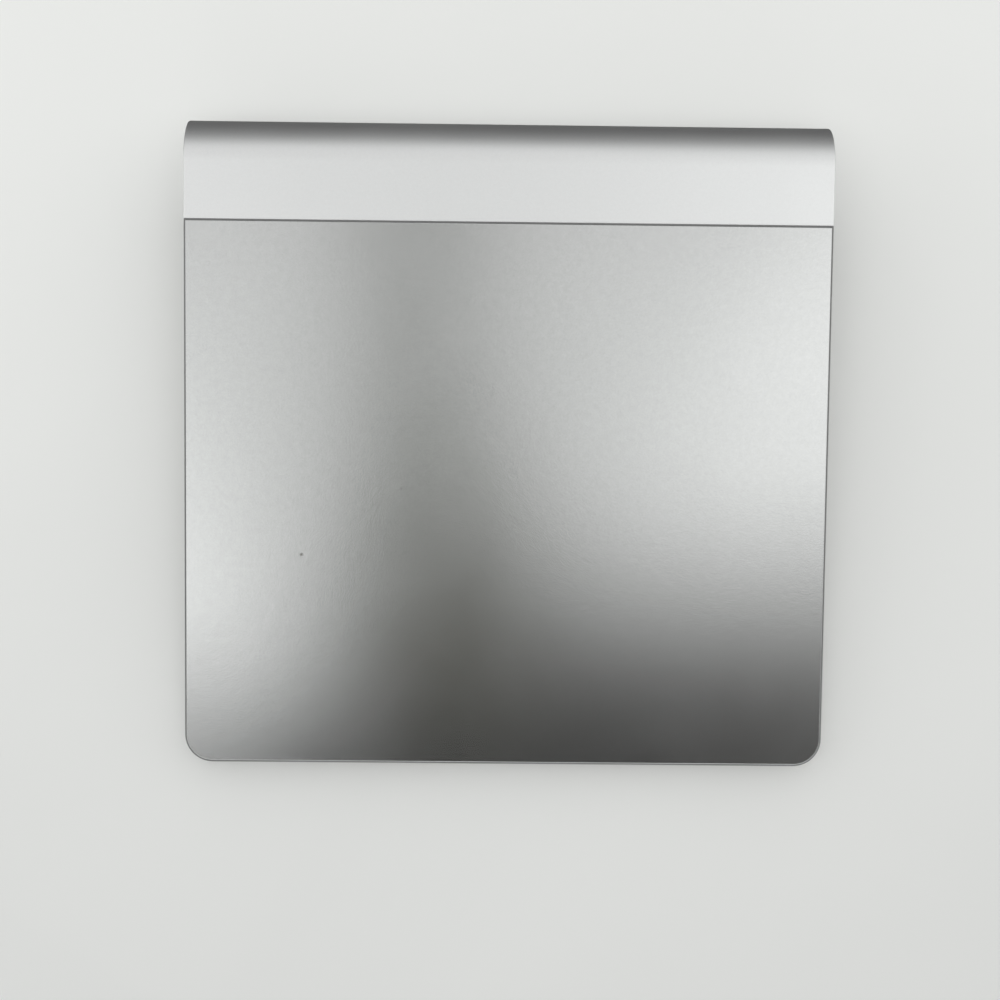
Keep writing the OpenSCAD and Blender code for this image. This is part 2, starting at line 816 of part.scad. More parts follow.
module leaf_screws() {
    color(steel)
        for (side = [-1, 1])
            on_side(side)
                in_deck()
                    leaf_screw_places() {
                        post(leaf_screw_diameter, 0, 0, leaf_bottom - leaf_screw_head_height, leaf_screw_top);
                        post(leaf_screw_head, 0, 0, leaf_bottom - leaf_screw_head_height, leaf_bottom);
                    }
}

module click_switch(side) {
    half = switch_width / 2;
    color(plastic_black)
        on_side(side)
            in_deck()
                difference() {
                    block([foot_x - half, foot_u - half, switch_bottom],
                        [foot_x + half, foot_u + half, flex_bottom]);
                    post(switch_button_diameter + 2 * switch_button_gap, foot_x, foot_u,
                        switch_bottom - past, switch_bottom + switch_well);
                }
}

module switch_button(side) {
    low = switch_bottom - switch_button_proud;
    color(steel)
        on_side(side)
            in_deck()
                post(switch_button_diameter, foot_x, foot_u, low, low + switch_button_thickness);
}

// Flexible circuit from a click switch, along the web and up to the sensor board
module switch_flex(side) {
    half = switch_flex_width / 2;
    color(flex_amber)
        on_side(side)
            in_deck() {
                block([foot_x - half, foot_u - switch_width / 2, flex_bottom],
                    [foot_x + half, switch_flex_back, web_bottom]);
                block([foot_x - half, switch_flex_back - flex_thickness, flex_bottom],
                    [foot_x + half, switch_flex_back, board_bottom]);
            }
}

module battery_liner() {
    color(plastic_black)
        in_deck()
            difference() {
                rod(liner_outside, ring_end + touch_gap, carrier_start - touch_gap);
                rod(liner_inside, ring_end - past, carrier_start + past);
            }
}

// One round cell with its flat end to the left and its terminal to the right
module battery_cell(start) {
    color(cell_green)
        in_deck() {
            rod(cell_diameter, start, start + cell_length - terminal_length);
            rod(terminal_diameter, start, start + cell_length);
        }
}

// Ring with a female thread, fixed in the left end of the tube
module thread_ring() {
    ring_radius = ring_bore / 2;
    turns = ceil((ring_end - ring_start) / thread_pitch) + 2;
    crest = ring_radius + thread_depth + thread_gap / 2;
    section = thread_section(ring_radius - thread_gap, crest, thread_gap);
    color(silver)
        in_deck()
            difference() {
                rod(ring_outside - 2 * touch_gap, ring_start, ring_end);
                rod(ring_bore, ring_start - past, ring_end + past);
                thread(section, ring_start - thread_pitch, turns);
            }
}

// Screw cap: head with a coin slot, threaded skirt, and a post that holds the contact's rivet
module battery_cap() {
    section = thread_section(skirt_radius - thread_gap, skirt_radius + thread_depth, 0);
    color(silver)
        in_deck()
            difference() {
                union() {
                    rod(ring_outside - 2 * cap_gap, cap_start, cap_head_end);
                    difference() {
                        rod(2 * skirt_radius, cap_start, skirt_end);
                        rod(skirt_inside, cap_head_end, skirt_end + past);
                    }
                    rod(rivet_post_diameter, cap_start, contact_disc_start - touch_gap);
                    thread(section, ring_start + thread_pitch, thread_turns);
                }
                rod(rivet_diameter + 2 * rivet_gap, rivet_hole_start, contact_disc_start + past);
                block([cap_start - past, tube_u - coin_slot_length / 2, tube_n - coin_slot_width / 2],
                    [cap_start + coin_slot_depth, tube_u + coin_slot_length / 2,
                        tube_n + coin_slot_width / 2]);
            }
}

// Contact that swivels in the cap: rivet, disc and sprung cone
module cap_contact() {
    color(steel)
        in_deck() {
            rod(rivet_diameter, rivet_hole_start + rivet_gap, contact_disc_end);
            rod(contact_disc_diameter, contact_disc_start, contact_disc_end);
            sprung_cone(contact_disc_diameter, contact_disc_end, cells_start - touch_gap);
        }
}

// Draws its children at the places of the two screws that hold the guide on the carrier
module guide_screw_places() {
    for (side = [-1, 1])
        translate([0, side * guide_screw_radius * cos(guide_screw_angle),
                -guide_screw_radius * sin(guide_screw_angle)])
            children();
}

// Carrier in the right end of the tube: an inner wall and a floor under the power board
module end_carrier() {
    tail_half = terminal_tail_width / 2 + touch_gap;
    color(plastic_black)
        in_deck()
            difference() {
                rod(liner_outside, carrier_start, guide_start);
                block([power_bay_start, tube_u - bore_radius, power_board_bottom],
                    [guide_start + past, tube_u + bore_radius, tube_n + bore_radius]);
                block([carrier_start - past, tube_u - tail_half, power_board_top - touch_gap],
                    [power_bay_start + past, tube_u + tail_half,
                        power_board_top + contact_sheet + touch_gap]);
                rod(clip_diameter + 2 * button_margin, clip_start - button_travel - button_margin,
                    guide_start + past);
                guide_screw_places()
                    rod(guide_screw_diameter + 2 * screw_gap, guide_end - guide_screw_length - past,
                        guide_end);
            }
}

// Terminal spring that meets the right-hand cell, with a tail that lies on the power board
module positive_contact() {
    disc_start = carrier_start - contact_sheet;
    color(steel)
        in_deck() {
            rod(terminal_disc_diameter, disc_start, carrier_start);
            sprung_cone(terminal_disc_diameter, disc_start, cells_end + touch_gap);
            block([disc_start, tube_u - terminal_tail_width / 2, power_board_top],
                [power_board_start + terminal_tail_length, tube_u + terminal_tail_width / 2,
                    power_board_top + contact_sheet]);
        }
}

module power_board() {
    color(board_green)
        in_deck()
            block([power_board_start, tube_u - power_board_width / 2, power_board_bottom],
                [power_switch_end, tube_u + power_board_width / 2, power_board_top]);
}

module power_socket() {
    half = power_flex_width / 2 + socket_overhang;
    color(plastic_black)
        in_deck()
            block([power_flex_x - half, power_flex_u, power_board_top],
                [power_flex_x + half, power_flex_u + power_socket_depth,
                    power_board_top + power_socket_height]);
}

module power_switch() {
    half_u = power_switch_width / 2;
    half_n = power_switch_height / 2;
    well = button_travel + 2 * stroke_margin;
    color(plastic_black)
        in_deck()
            difference() {
                block([power_switch_start, tube_u - half_u, tube_n - half_n],
                    [power_switch_end, tube_u + half_u, tube_n + half_n]);
                rod(power_switch_button_diameter + 2 * switch_button_gap, power_switch_end - well,
                    power_switch_end + past);
            }
}

module power_switch_button() {
    color(steel)
        in_deck()
            rod(power_switch_button_diameter, power_switch_end - stroke_margin, stem_end - touch_gap);
}

// Round button with a shallow dish in its face and a stepped stem that runs in the guide
module power_button() {
    radius = bore_radius - button_gap;
    dish_radius = radius - button_rim;
    dish_sphere = (dish_radius * dish_radius + button_dish * button_dish) / (2 * button_dish);
    color(silver)
        in_deck() {
            translate([button_back, tube_u, tube_n])
                rotate([0, 90, 0])
                    rotate_extrude()
                        difference() {
                            square([radius, button_thickness]);
                            translate([0, button_thickness + dish_sphere - button_dish])
                                circle(dish_sphere, $fn = 1800);
                        }
            rod(button_stem_diameter, clip_end, button_back + button_thickness / 2);
            rod(clip_bore, stem_end, button_back + button_thickness / 2);
        }
}

module button_clip() {
    color(steel)
        in_deck()
            difference() {
                rod(clip_diameter, clip_start, clip_end);
                rod(clip_bore + 2 * touch_gap, clip_start - past, clip_end + past);
            }
}

module button_guide() {
    color(plastic_black)
        in_deck()
            difference() {
                rod(liner_outside, guide_start, guide_end);
                rod(button_stem_diameter + 2 * button_stem_gap, guide_start - past, guide_end + past);
                guide_screw_places() {
                    rod(guide_screw_diameter + 2 * screw_gap, guide_start - past, guide_end + past);
                    rod(guide_screw_head + 2 * screw_gap, guide_end - guide_screw_head_height - screw_gap,
                        guide_end + past);
                }
            }
}

module guide_screws() {
    head_end = guide_end - screw_gap;
    color(steel)
        in_deck()
            guide_screw_places() {
                rod(guide_screw_diameter, guide_end - guide_screw_length, head_end);
                rod(guide_screw_head, head_end - guide_screw_head_height, head_end);
            }
}

module status_led() {
    led_u = tube_u + led_offset;
    color(clear_white)
        in_deck()
            block([led_x - led_size[0] / 2, led_u - led_size[1] / 2, power_board_top],
                [led_x + led_size[0] / 2, led_u + led_size[1] / 2, power_board_top + led_size[2]]);
}

module light_guide() {
    color(clear_white)
        in_deck()
            post(light_guide_diameter, led_x, tube_u + led_offset, power_board_top + led_size[2],
                light_guide_top);
}

enclosure();
touch_glass();
glass_gasket();
bond_film();
sensor_board();
touch_controller();
radio_chip();
radio_shield();
board_chips();
antenna();
sensor_socket();
power_flex();
bottom_panel();
panel_tape();
rear_foot(-1);  // rear_foot_left
rear_foot(1);  // rear_foot_right
front_foot(-1);  // front_foot_left
front_foot(1);  // front_foot_right
foot_plunger(-1);  // foot_plunger_left
foot_plunger(1);  // foot_plunger_right
click_leaf(-1);  // click_leaf_left
click_leaf(1);  // click_leaf_right
leaf_screws();
click_switch(-1);  // click_switch_left
click_switch(1);  // click_switch_right
switch_button(-1);  // switch_button_left
switch_button(1);  // switch_button_right
switch_flex(-1);  // switch_flex_left
switch_flex(1);  // switch_flex_right
battery_liner();
battery_cell(cells_start);  // battery_cell_left
battery_cell(cells_middle);  // battery_cell_right
thread_ring();
battery_cap();
cap_contact();
end_carrier();
positive_contact();
power_board();
power_socket();
power_switch();
power_switch_button();
power_button();
button_clip();
button_guide();
guide_screws();
status_led();
light_guide();
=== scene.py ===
"""Looks of the desk trackpad.

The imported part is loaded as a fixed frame. The outer pieces are modelled over it in millimetres and
seated in the frame's metres. Every piece gets a procedural finish, and the floor, the lamps and the
camera follow the photograph.
"""

import json
import logging
import math
from collections.abc import Callable, Iterator, Sequence
from contextlib import contextmanager
from dataclasses import dataclass
from enum import Enum

import bmesh
import bpy
from mathutils import Matrix, Vector


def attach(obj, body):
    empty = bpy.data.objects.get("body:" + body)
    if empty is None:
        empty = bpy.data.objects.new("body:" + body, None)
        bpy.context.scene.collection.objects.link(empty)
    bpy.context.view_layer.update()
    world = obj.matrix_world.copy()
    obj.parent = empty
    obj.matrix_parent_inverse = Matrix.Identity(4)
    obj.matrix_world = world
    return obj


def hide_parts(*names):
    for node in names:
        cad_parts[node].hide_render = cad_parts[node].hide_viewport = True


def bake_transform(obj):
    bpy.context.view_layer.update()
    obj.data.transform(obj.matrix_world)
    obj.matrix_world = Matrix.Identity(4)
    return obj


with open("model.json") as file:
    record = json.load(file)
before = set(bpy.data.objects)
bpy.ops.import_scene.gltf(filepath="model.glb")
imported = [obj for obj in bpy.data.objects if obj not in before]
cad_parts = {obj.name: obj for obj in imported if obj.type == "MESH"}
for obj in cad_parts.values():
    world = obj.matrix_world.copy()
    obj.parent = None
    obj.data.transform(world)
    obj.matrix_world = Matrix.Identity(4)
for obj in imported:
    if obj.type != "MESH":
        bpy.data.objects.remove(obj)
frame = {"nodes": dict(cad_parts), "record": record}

Colour = tuple[float, float, float]
Point = tuple[float, float, float]
Span = tuple[float, float]
Profile = Sequence[tuple[float, float]]
Edge = bmesh.types.BMEdge
Test = Callable[..., bool]
Piece = bpy.types.Object
Node = bpy.types.Node
Socket = bpy.types.NodeSocket

# Metres in a millimetre
MM = 0.001
# Millimetres within which two places count as one
NEAR = 0.001
# Millimetres by which a cutting tool reaches past what it cuts
PAST = 1.0
# Millimetres that keep the two corners of a round end from merging
CORNER_GAP = 2 * NEAR
# Numbers of the axes: across, back along the slope, and square to the touch surface
X, U, N = range(3)
# Angle past which an edge is sharp, and angle past which its shading stays hard
SHARP = math.radians(35.0)
SMOOTH = math.radians(30.0)
# Size of the coarse grain against the fine grain, and the fine grain's share of the two
COARSE_RATIO = 3.7
FINE_SHARE = 0.62
# Span of a noise's shades that the slow drift stretches to the full range
DRIFT_SPAN = (0.3, 0.7)
# Share of a speck's radius that is dark all over
SPECK_CORE = 0.4
# Length of one line of a wave texture at scale 1
WAVE_LENGTH = 0.31
# Numbers of a Mix node's sockets for colours: its mask, its two colours and its result
MIX_MASK, MIX_LOW, MIX_HIGH, MIX_RESULT = 0, 6, 7, 2
LOG = logging.getLogger("trackpad")


class Kind(Enum):
    """What a selection on the bench picks, and the mesh list it looks through."""

    EDGE = "edges"
    FACE = "faces"


class Join(Enum):
    """How a tool changes a blank."""

    CUT = "DIFFERENCE"
    ADD = "UNION"


class Axis(Enum):
    """Axis that a piece is turned about: the direction along it and the direction out from it."""

    TUBE = ((1.0, 0.0, 0.0), (0.0, 1.0, 0.0))
    UPRIGHT = ((0.0, 0.0, 1.0), (1.0, 0.0, 0.0))


class Side(Enum):
    """Left or right half of the body, as the sign of its x."""

    LEFT = -1
    RIGHT = 1

    @property
    def word(self) -> str:
        """Name of the side as it ends a piece's name."""
        return self.name.lower()


@dataclass(frozen=True)
class Layout:
    """Sizes that several pieces share, in millimetres, as the part's source has them.

    The deck frame has x across, u back along the slope and n square to the touch surface, with its
    origin at the front edge of the touch surface.
    """

    # Outline of the body and of the touch surface
    half_width: float = 65.0
    half_depth: float = 65.2
    front_clearance: float = 0.9
    corner_radius: float = 5.6
    corner_steps: int = 24
    band_depth: float = 21.3
    # Levels n of the layers, from the glass down
    glass_floor: float = -1.0
    ledge: float = -1.2
    tape_top: float = -3.77
    panel_top: float = -3.87
    underside: float = -4.67
    stem_bottom: float = -5.07
    # Battery tube, whose crown stands a hair above the deck
    tube_radius: float = 8.8
    tube_crown: float = 0.01
    tube_z: float = 9.4
    tube_steps: int = 128
    # Bay for the electronics, and the ledge behind it
    bay_half: float = 60.5
    bay_front: float = 4.5
    bay_radius: float = 2.0
    bay_steps: int = 8
    ledge_width: float = 3.4
    # Bottom panel
    panel_half: float = 63.8
    panel_front: float = 1.2
    panel_back: float = 111.69
    panel_front_radius: float = 4.4
    panel_back_radius: float = 1.5
    panel_back_steps: int = 10
    # Front feet and the screws of their springs
    foot_x: float = 52.0
    foot_u: float = 12.5
    screw_x: float = 41.0
    screw_pitch: float = 4.8
    screw_hole: float = 0.6
    screw_steps: int = 24
    # Rear feet
    rear_foot_x: float = 49.0
    rear_foot_half: Span = (8.0, 2.5)
    rear_foot_top: float = 1.1
    rear_foot_steps: int = 16

    def lean(self, run: float) -> float:
        """Work out how steeply the deck rises to the tube.

        Args:
            run: Distance from the deck's lower front edge to the tube's axis, along y.

        Returns:
            The angle of the deck.
        """
        rise = self.tube_z - self.front_clearance
        lift = self.tube_radius + self.underside - self.tube_crown
        return math.atan2(rise, run) + math.asin(lift / math.hypot(run, rise))

    @property
    def slope(self) -> float:
        """Slope of the deck: its underside meets the front clearance and its top runs on to the tube."""
        run = 2 * self.half_depth - self.tube_radius
        face = self.ledge - self.underside
        return self.lean(run - face * math.sin(self.lean(run)))

    @property
    def deck(self) -> Matrix:
        """Matrix that takes deck millimetres to millimetres of the whole part."""
        forward = self.ledge * math.sin(self.slope) - self.half_depth
        height = self.front_clearance - self.underside * math.cos(self.slope)
        return Matrix.Translation((0.0, forward, height)) @ Matrix.Rotation(self.slope, 4, "X")

    @property
    def tube_y(self) -> float:
        """Place of the tube's axis along y of the whole part."""
        return self.half_depth - self.tube_radius

    @property
    def tube(self) -> Vector:
        """Middle of the battery tube in the deck frame."""
        return self.deck.inverted() @ Vector((0.0, self.tube_y, self.tube_z))

    @property
    def seam(self) -> float:
        """Place u of the seam between the touch surface and the rear band."""
        front = self.deck.translation.y
        return (self.half_depth - self.band_depth - front) / math.cos(self.slope)

    @property
    def bay_back(self) -> float:
        """Place u of the back wall of the electronics bay."""
        return self.seam - self.ledge_width


def lies(element: Edge | bmesh.types.BMFace, axis: int, *places: float) -> bool:
    """Say whether all corners of an edge or face lie at one of some places along an axis.

    Args:
        element: The edge or face.
        axis: Number of the axis.
        places: Places along it, in millimetres.

    Returns:
        True where one place holds every corner.
    """
    return any(all(abs(v.co[axis] - place) < NEAR for v in element.verts) for place in places)


def is_sharp(edge: Edge) -> bool:
    """Say whether an edge stands out and is sharper than a rounded one."""
    return edge.is_manifold and edge.calc_face_angle_signed() > SHARP


def is_upright(edge: Edge) -> bool:
    """Say whether an edge runs along n only."""
    run = edge.verts[1].co - edge.verts[0].co
    return abs(run.x) < NEAR and abs(run.y) < NEAR


def upright_at(place: float) -> Test:
    """Return a test for the upright edges at a place along u."""
    return lambda edge: is_upright(edge) and lies(edge, U, place)


def sharp_at(level: float) -> Test:
    """Return a test for the sharp edges at a level along n."""
    return lambda edge: is_sharp(edge) and lies(edge, N, level)


class Blank:
    """A mesh on the bench, modelled in millimetres until it is seated in the frame."""

    def __init__(self, name: str) -> None:
        """Take over the object that a primitive has just made, and name it."""
        self.piece = bpy.context.object
        self.piece.name = name

    @classmethod
    def block(cls, name: str, low: Point, high: Point) -> "Blank":
        """Start from a cube between two corners.

        Args:
            name: Name of the piece.
            low: Lowest corner.
            high: Highest corner.

        Returns:
            The new blank.
        """
        bpy.ops.object.select_all(action="DESELECT")
        middle = (Vector(low) + Vector(high)) / 2
        bpy.ops.mesh.primitive_cube_add(size=1.0, location=middle, scale=Vector(high) - Vector(low))
        blank = cls(name)
        blank.place(Matrix.Identity(4))
        return blank

    @classmethod
    def point(cls, name: str, place: Vector) -> "Blank":
        """Start from a plane that is merged to one point.

        Args:
            name: Name of the piece.
            place: Where the point lies.

        Returns:
            The new blank.
        """
        bpy.ops.object.select_all(action="DESELECT")
        bpy.ops.mesh.primitive_plane_add(size=1.0)
        blank = cls(name)
        with blank.editing():
            bpy.ops.mesh.select_mode(type="VERT")
            bpy.ops.mesh.select_all(action="SELECT")
            bpy.ops.mesh.merge(type="CENTER")
            bpy.ops.transform.translate(value=place)
        return blank

    @classmethod
    def turned(cls, name: str, profile: Profile, centre: Vector, axis: Axis, steps: int = 96) -> "Blank":
        """Draw a chain of points and spin it once round.

        Args:
            name: Name of the piece.
            profile: Radius and place along the axis of each point, from pole to pole.
            centre: A point on the axis.
            axis: Axis that the chain spins about.
            steps: Number of steps round.

        Returns:
            The new blank, closed.
        """
        along, outward = (Vector(direction) for direction in axis.value)
        chain = [centre + outward * radius + along * place for radius, place in profile]
        blank = cls.point(name, chain[0])
        with blank.editing():
            blank.trace(chain)
            bpy.ops.mesh.select_all(action="SELECT")
            bpy.ops.mesh.spin(steps=steps, angle=math.tau, center=centre, axis=along)
            blank.heal()
        return blank

    @classmethod
    def post(cls, name: str, radius: float, centre: Vector, heights: Span, steps: int = 96) -> "Blank":
        """Turn an upright round post.

        Args:
            name: Name of the piece.
            radius: Radius of the post.
            centre: A point on its axis.
            heights: Heights of its foot and its top above that point.
            steps: Number of steps round.

        Returns:
            The new blank, closed.
        """
        low, high = heights
        profile = ((0.0, low), (radius, low), (radius, high), (0.0, high))
        return cls.turned(name, profile, centre, Axis.UPRIGHT, steps)

    def pick(self) -> None:
        """Make this blank the only selected object."""
        bpy.ops.object.select_all(action="DESELECT")
        self.piece.select_set(True)
        bpy.context.view_layer.objects.active = self.piece

    @contextmanager
    def editing(self) -> Iterator[None]:
        """Open the blank alone in edit mode, and close it afterwards.

        Returns:
            The context in which it is open.
        """
        self.pick()
        bpy.ops.object.mode_set(mode="EDIT")
        yield
        bpy.ops.object.mode_set(mode="OBJECT")

    def select(self, kind: Kind, test: Test) -> None:
        """Select what passes a test, and nothing else, in edit mode.

        Args:
            kind: Whether edges or faces are looked through.
            test: Says whether an element is wanted.
        """
        bpy.ops.mesh.select_mode(type=kind.name)
        bpy.ops.mesh.select_all(action="DESELECT")
        mesh = bmesh.from_edit_mesh(self.piece.data)
        for element in getattr(mesh, kind.value):
            if test(element):
                element.select_set(True)
        mesh.select_flush_mode()
        bmesh.update_edit_mesh(self.piece.data)

    def extrude(self, step: Vector) -> None:
        """Extrude the selection by a step, in edit mode."""
        bpy.ops.mesh.extrude_region_move(TRANSFORM_OT_translate={"value": step})

    def trace(self, chain: Sequence[Vector]) -> None:
        """Extrude the selection from each point of a chain to the next, in edit mode."""
        for last, here in zip(chain, chain[1:]):
            self.extrude(here - last)

    def heal(self) -> None:
        """Merge doubles and turn every face outwards, in edit mode."""
        bpy.ops.mesh.select_all(action="SELECT")
        bpy.ops.mesh.remove_doubles(threshold=NEAR)
        bpy.ops.mesh.normals_make_consistent(inside=False)

    def round_corners(self, test: Test, radius: float, steps: int) -> None:
        """Round edges to a true radius.

        Args:
            test: Says which edges are rounded.
            radius: Radius of the rounding.
            steps: Number of flats round it.
        """
        with self.editing():
            self.select(Kind.EDGE, test)
            bpy.ops.mesh.bevel(offset=radius, segments=steps, profile=0.5, affect="EDGES",
                               clamp_overlap=False)
            self.heal()

    def soften(self, *rounds: tuple[Test, float], steps: int = 3) -> None:
        """Break sharp edges, each kind by its own width.

        Args:
            rounds: A test for the edges and the width that they get, one pair for each kind.
            steps: Number of flats across an edge.
        """
        widest = max(width for _, width in rounds)
        with self.editing():
            for test, width in rounds:
                self.select(Kind.EDGE, test)
                bpy.ops.transform.edge_bevelweight(value=width / widest)
        self.modify("BEVEL", width=widest, segments=steps, limit_method="WEIGHT", use_clamp_overlap=False)

    def modify(self, kind: str, **settings: object) -> None:
        """Add a modifier, set it up and apply it.

        Args:
            kind: Type of the modifier.
            settings: Its properties, by name.
        """
        self.pick()
        modifier = self.piece.modifiers.new(kind.lower(), kind)
        for name, value in settings.items():
            setattr(modifier, name, value)
        bpy.ops.object.modifier_apply(modifier=modifier.name)

    def combine(self, tool: "Blank", how: Join = Join.CUT) -> None:
        """Cut a tool away or add it, and throw the tool away.

        Args:
            tool: The blank that is used up.
            how: Whether it is cut away or added.
        """
        self.modify("BOOLEAN", object=tool.piece, operation=how.value, solver="EXACT")
        bpy.data.objects.remove(tool.piece)

    def both(self) -> dict[Side, "Blank"]:
        """Copy this blank of the right side, with a mesh of its own, to the left side.

        Returns:
            The blank of each side.
        """
        name = self.piece.name.replace(Side.RIGHT.word, Side.LEFT.word)
        self.pick()
        bpy.ops.object.duplicate(linked=False)
        left = Blank(name)
        left.place(Matrix.Scale(-1.0, 4, (1.0, 0.0, 0.0)))
        with left.editing():
            left.heal()
        return {Side.LEFT: left, Side.RIGHT: self}

    def place(self, matrix: Matrix) -> None:
        """Move the blank and put its new place in its mesh.

        Args:
            matrix: Takes the blank from its old place to its new one.
        """
        self.piece.matrix_world = matrix @ self.piece.matrix_basis
        self.pick()
        bpy.ops.object.transform_apply(location=True, rotation=True, scale=True)

    def seat(self, matrix: Matrix) -> Piece:
        """Bring the blank to its place in metres and give it smooth shading.

        Args:
            matrix: From the blank's millimetres to millimetres of the whole part.

        Returns:
            The finished object.
        """
        self.place(Matrix.Scale(MM, 4) @ matrix)
        bpy.ops.object.shade_smooth_by_angle(angle=SMOOTH)
        self.modify("WEIGHTED_NORMAL", keep_sharp=True, weight=100)
        return self.piece


class Nodes:
    """Adds and links the nodes of one tree."""

    def __init__(self, tree: bpy.types.NodeTree) -> None:
        """Keep the tree that the nodes go into."""
        self.tree = tree

    def feed(self, socket: Socket, value: object) -> None:
        """Link an input from another socket, or set it to a value.

        Args:
            socket: The input.
            value: The socket to link from, or the value.
        """
        if isinstance(value, Socket):
            self.tree.links.new(value, socket)
        else:
            socket.default_value = value

    def add(self, kind: str, inputs: dict | None = None, **settings: object) -> Node:
        """Add a node, set it up and feed its sockets.

        Args:
            kind: Type name of the node.
            inputs: A value, or a socket to link from, for each input by name or number.
            settings: Properties of the node, by name.

        Returns:
            The new node.
        """
        node = self.tree.nodes.new(kind)
        for name, value in settings.items():
            setattr(node, name, value)
        for name, value in (inputs or {}).items():
            self.feed(node.inputs[name], value)
        return node

    def place(self) -> Socket:
        """Return the place on the piece, in metres."""
        return self.add("ShaderNodeTexCoord").outputs["Object"]

    def math(self, operation: str, first: object, second: object = 0.0, **settings: object) -> Socket:
        """Return the result of a sum on two values or sockets."""
        return self.add("ShaderNodeMath", {0: first, 1: second}, operation=operation, **settings).outputs[0]

    def per_metre(self, size: Socket) -> Socket:
        """Return how often a size in millimetres fits into a metre."""
        return self.math("DIVIDE", 1.0 / MM, size)

    def noise(self, place: Socket, scale: object, detail: float, distortion: float = 0.0) -> Socket:
        """Return the shade of a noise texture."""
        inputs = {"Vector": place, "Scale": scale, "Detail": detail, "Distortion": distortion}
        return self.add("ShaderNodeTexNoise", inputs).outputs[0]

    def ramp(self, value: Socket, span: tuple, result: Span = (0.0, 1.0), **settings: object) -> Socket:
        """Return a value brought from one span to another, and held at its ends."""
        inputs = dict(enumerate((value, *span, *result)))
        return self.add("ShaderNodeMapRange", inputs, **settings).outputs[0]

    def blend(self, mask: Socket, low: Socket | Colour, high: Socket | Colour) -> Socket:
        """Mix two colours by a mask.

        Args:
            mask: Share of the second colour.
            low: First colour, or a socket that gives it.
            high: Second colour, or a socket that gives it.

        Returns:
            The mixed colour.
        """
        ends = [end if isinstance(end, Socket) else (*end, 1.0) for end in (low, high)]
        inputs = {MIX_MASK: mask, MIX_LOW: ends[0], MIX_HIGH: ends[1]}
        return self.add("ShaderNodeMix", inputs, data_type="RGBA").outputs[MIX_RESULT]

    def group(self, effect: "Effect", **inputs: object) -> Node:
        """Place a shared effect with its own values."""
        values = {name.capitalize(): value for name, value in inputs.items()}
        return self.add("ShaderNodeGroup", values, node_tree=effect.tree())


class Effect(Enum):
    """Shared surface effects, each a node group that is built once."""

    GRAIN = "fine_grain"
    DRIFT = "soft_drift"
    SPECKS = "dust_specks"

    def tree(self) -> bpy.types.NodeTree:
        """Return the effect's node group, built at its first use."""
        known = bpy.data.node_groups.get(self.value)
        return known or getattr(self, f"_build_{self.name.lower()}")()

    def _open(self, inputs: dict[str, float | Point], outputs: Sequence[str]) -> tuple[Nodes, dict, Node]:
        """Start the group with its sockets.

        Args:
            inputs: Name and first value of each input, a number or a place.
            outputs: Name of each output.

        Returns:
            The bench of the group, its input sockets by name, and its output node.
        """
        tree = bpy.data.node_groups.new(self.value, "ShaderNodeTree")
        for name, value in inputs.items():
            kind = "NodeSocketVector" if isinstance(value, tuple) else "NodeSocketFloat"
            tree.interface.new_socket(name, in_out="INPUT", socket_type=kind).default_value = value
        for name in outputs:
            tree.interface.new_socket(name, in_out="OUTPUT", socket_type="NodeSocketFloat")
        nodes = Nodes(tree)
        entry = nodes.add("NodeGroupInput")
        return nodes, {name: entry.outputs[name] for name in inputs}, nodes.add("NodeGroupOutput")

    def _build_grain(self) -> bpy.types.NodeTree:
        """Build a blasted grain: two sizes of fine noise, as a shade and a height.

        Returns:
            The new group.
        """
        nodes, given, out = self._open({"Size": 0.25, "Contrast": 1.0}, ("Shade", "Height"))
        place, density = nodes.place(), nodes.per_metre(given["Size"])
        fine = nodes.noise(place, density, detail=2.0)
        coarse = nodes.noise(place, nodes.math("DIVIDE", density, COARSE_RATIO), detail=1.0)
        both = nodes.math("ADD", nodes.math("MULTIPLY", fine, FINE_SHARE),
                          nodes.math("MULTIPLY", coarse, 1.0 - FINE_SHARE))
        stretched = nodes.math("MULTIPLY", nodes.math("SUBTRACT", both, 0.5), given["Contrast"])
        nodes.feed(out.inputs["Shade"], nodes.math("ADD", stretched, 0.5, use_clamp=True))
        nodes.feed(out.inputs["Height"], both)
        return nodes.tree

    def _build_drift(self) -> bpy.types.NodeTree:
        """Build a slow change over a surface, as handling leaves it.

        Returns:
            The new group.
        """
        nodes, given, out = self._open({"Size": 25.0}, ("Shade",))
        noise = nodes.noise(nodes.place(), nodes.per_metre(given["Size"]), detail=4.0, distortion=0.6)
        nodes.feed(out.inputs["Shade"], nodes.ramp(noise, DRIFT_SPAN))
        return nodes.tree

    def _build_specks(self) -> bpy.types.NodeTree:
        """Build a mask of scattered specks, each a soft dot in one cell of many.

        Returns:
            The new group.
        """
        inputs = {"Spacing": 5.0, "Width": 0.9, "Share": 0.1, "Shift": (0.0, 0.0, 0.0)}
        nodes, given, out = self._open(inputs, ("Mask",))
        moved = nodes.add("ShaderNodeVectorMath", {0: nodes.place(), 1: given["Shift"]}, operation="ADD")
        density = nodes.per_metre(given["Spacing"])
        cells = nodes.add("ShaderNodeTexVoronoi", {"Vector": moved.outputs[0], "Scale": density})
        reach = nodes.math("DIVIDE", given["Width"], nodes.math("MULTIPLY", given["Spacing"], 2.0))
        tone = nodes.add("ShaderNodeSeparateColor", {0: cells.outputs["Color"]})
        kept = nodes.math("LESS_THAN", tone.outputs[0], given["Share"])
        rim = nodes.math("MULTIPLY", reach, tone.outputs[1])
        core = nodes.math("MULTIPLY", rim, SPECK_CORE)
        dot = nodes.ramp(cells.outputs["Distance"], (core, rim), (1.0, 0.0))
        nodes.feed(out.inputs["Mask"], nodes.math("MULTIPLY", dot, kept))
        return nodes.tree


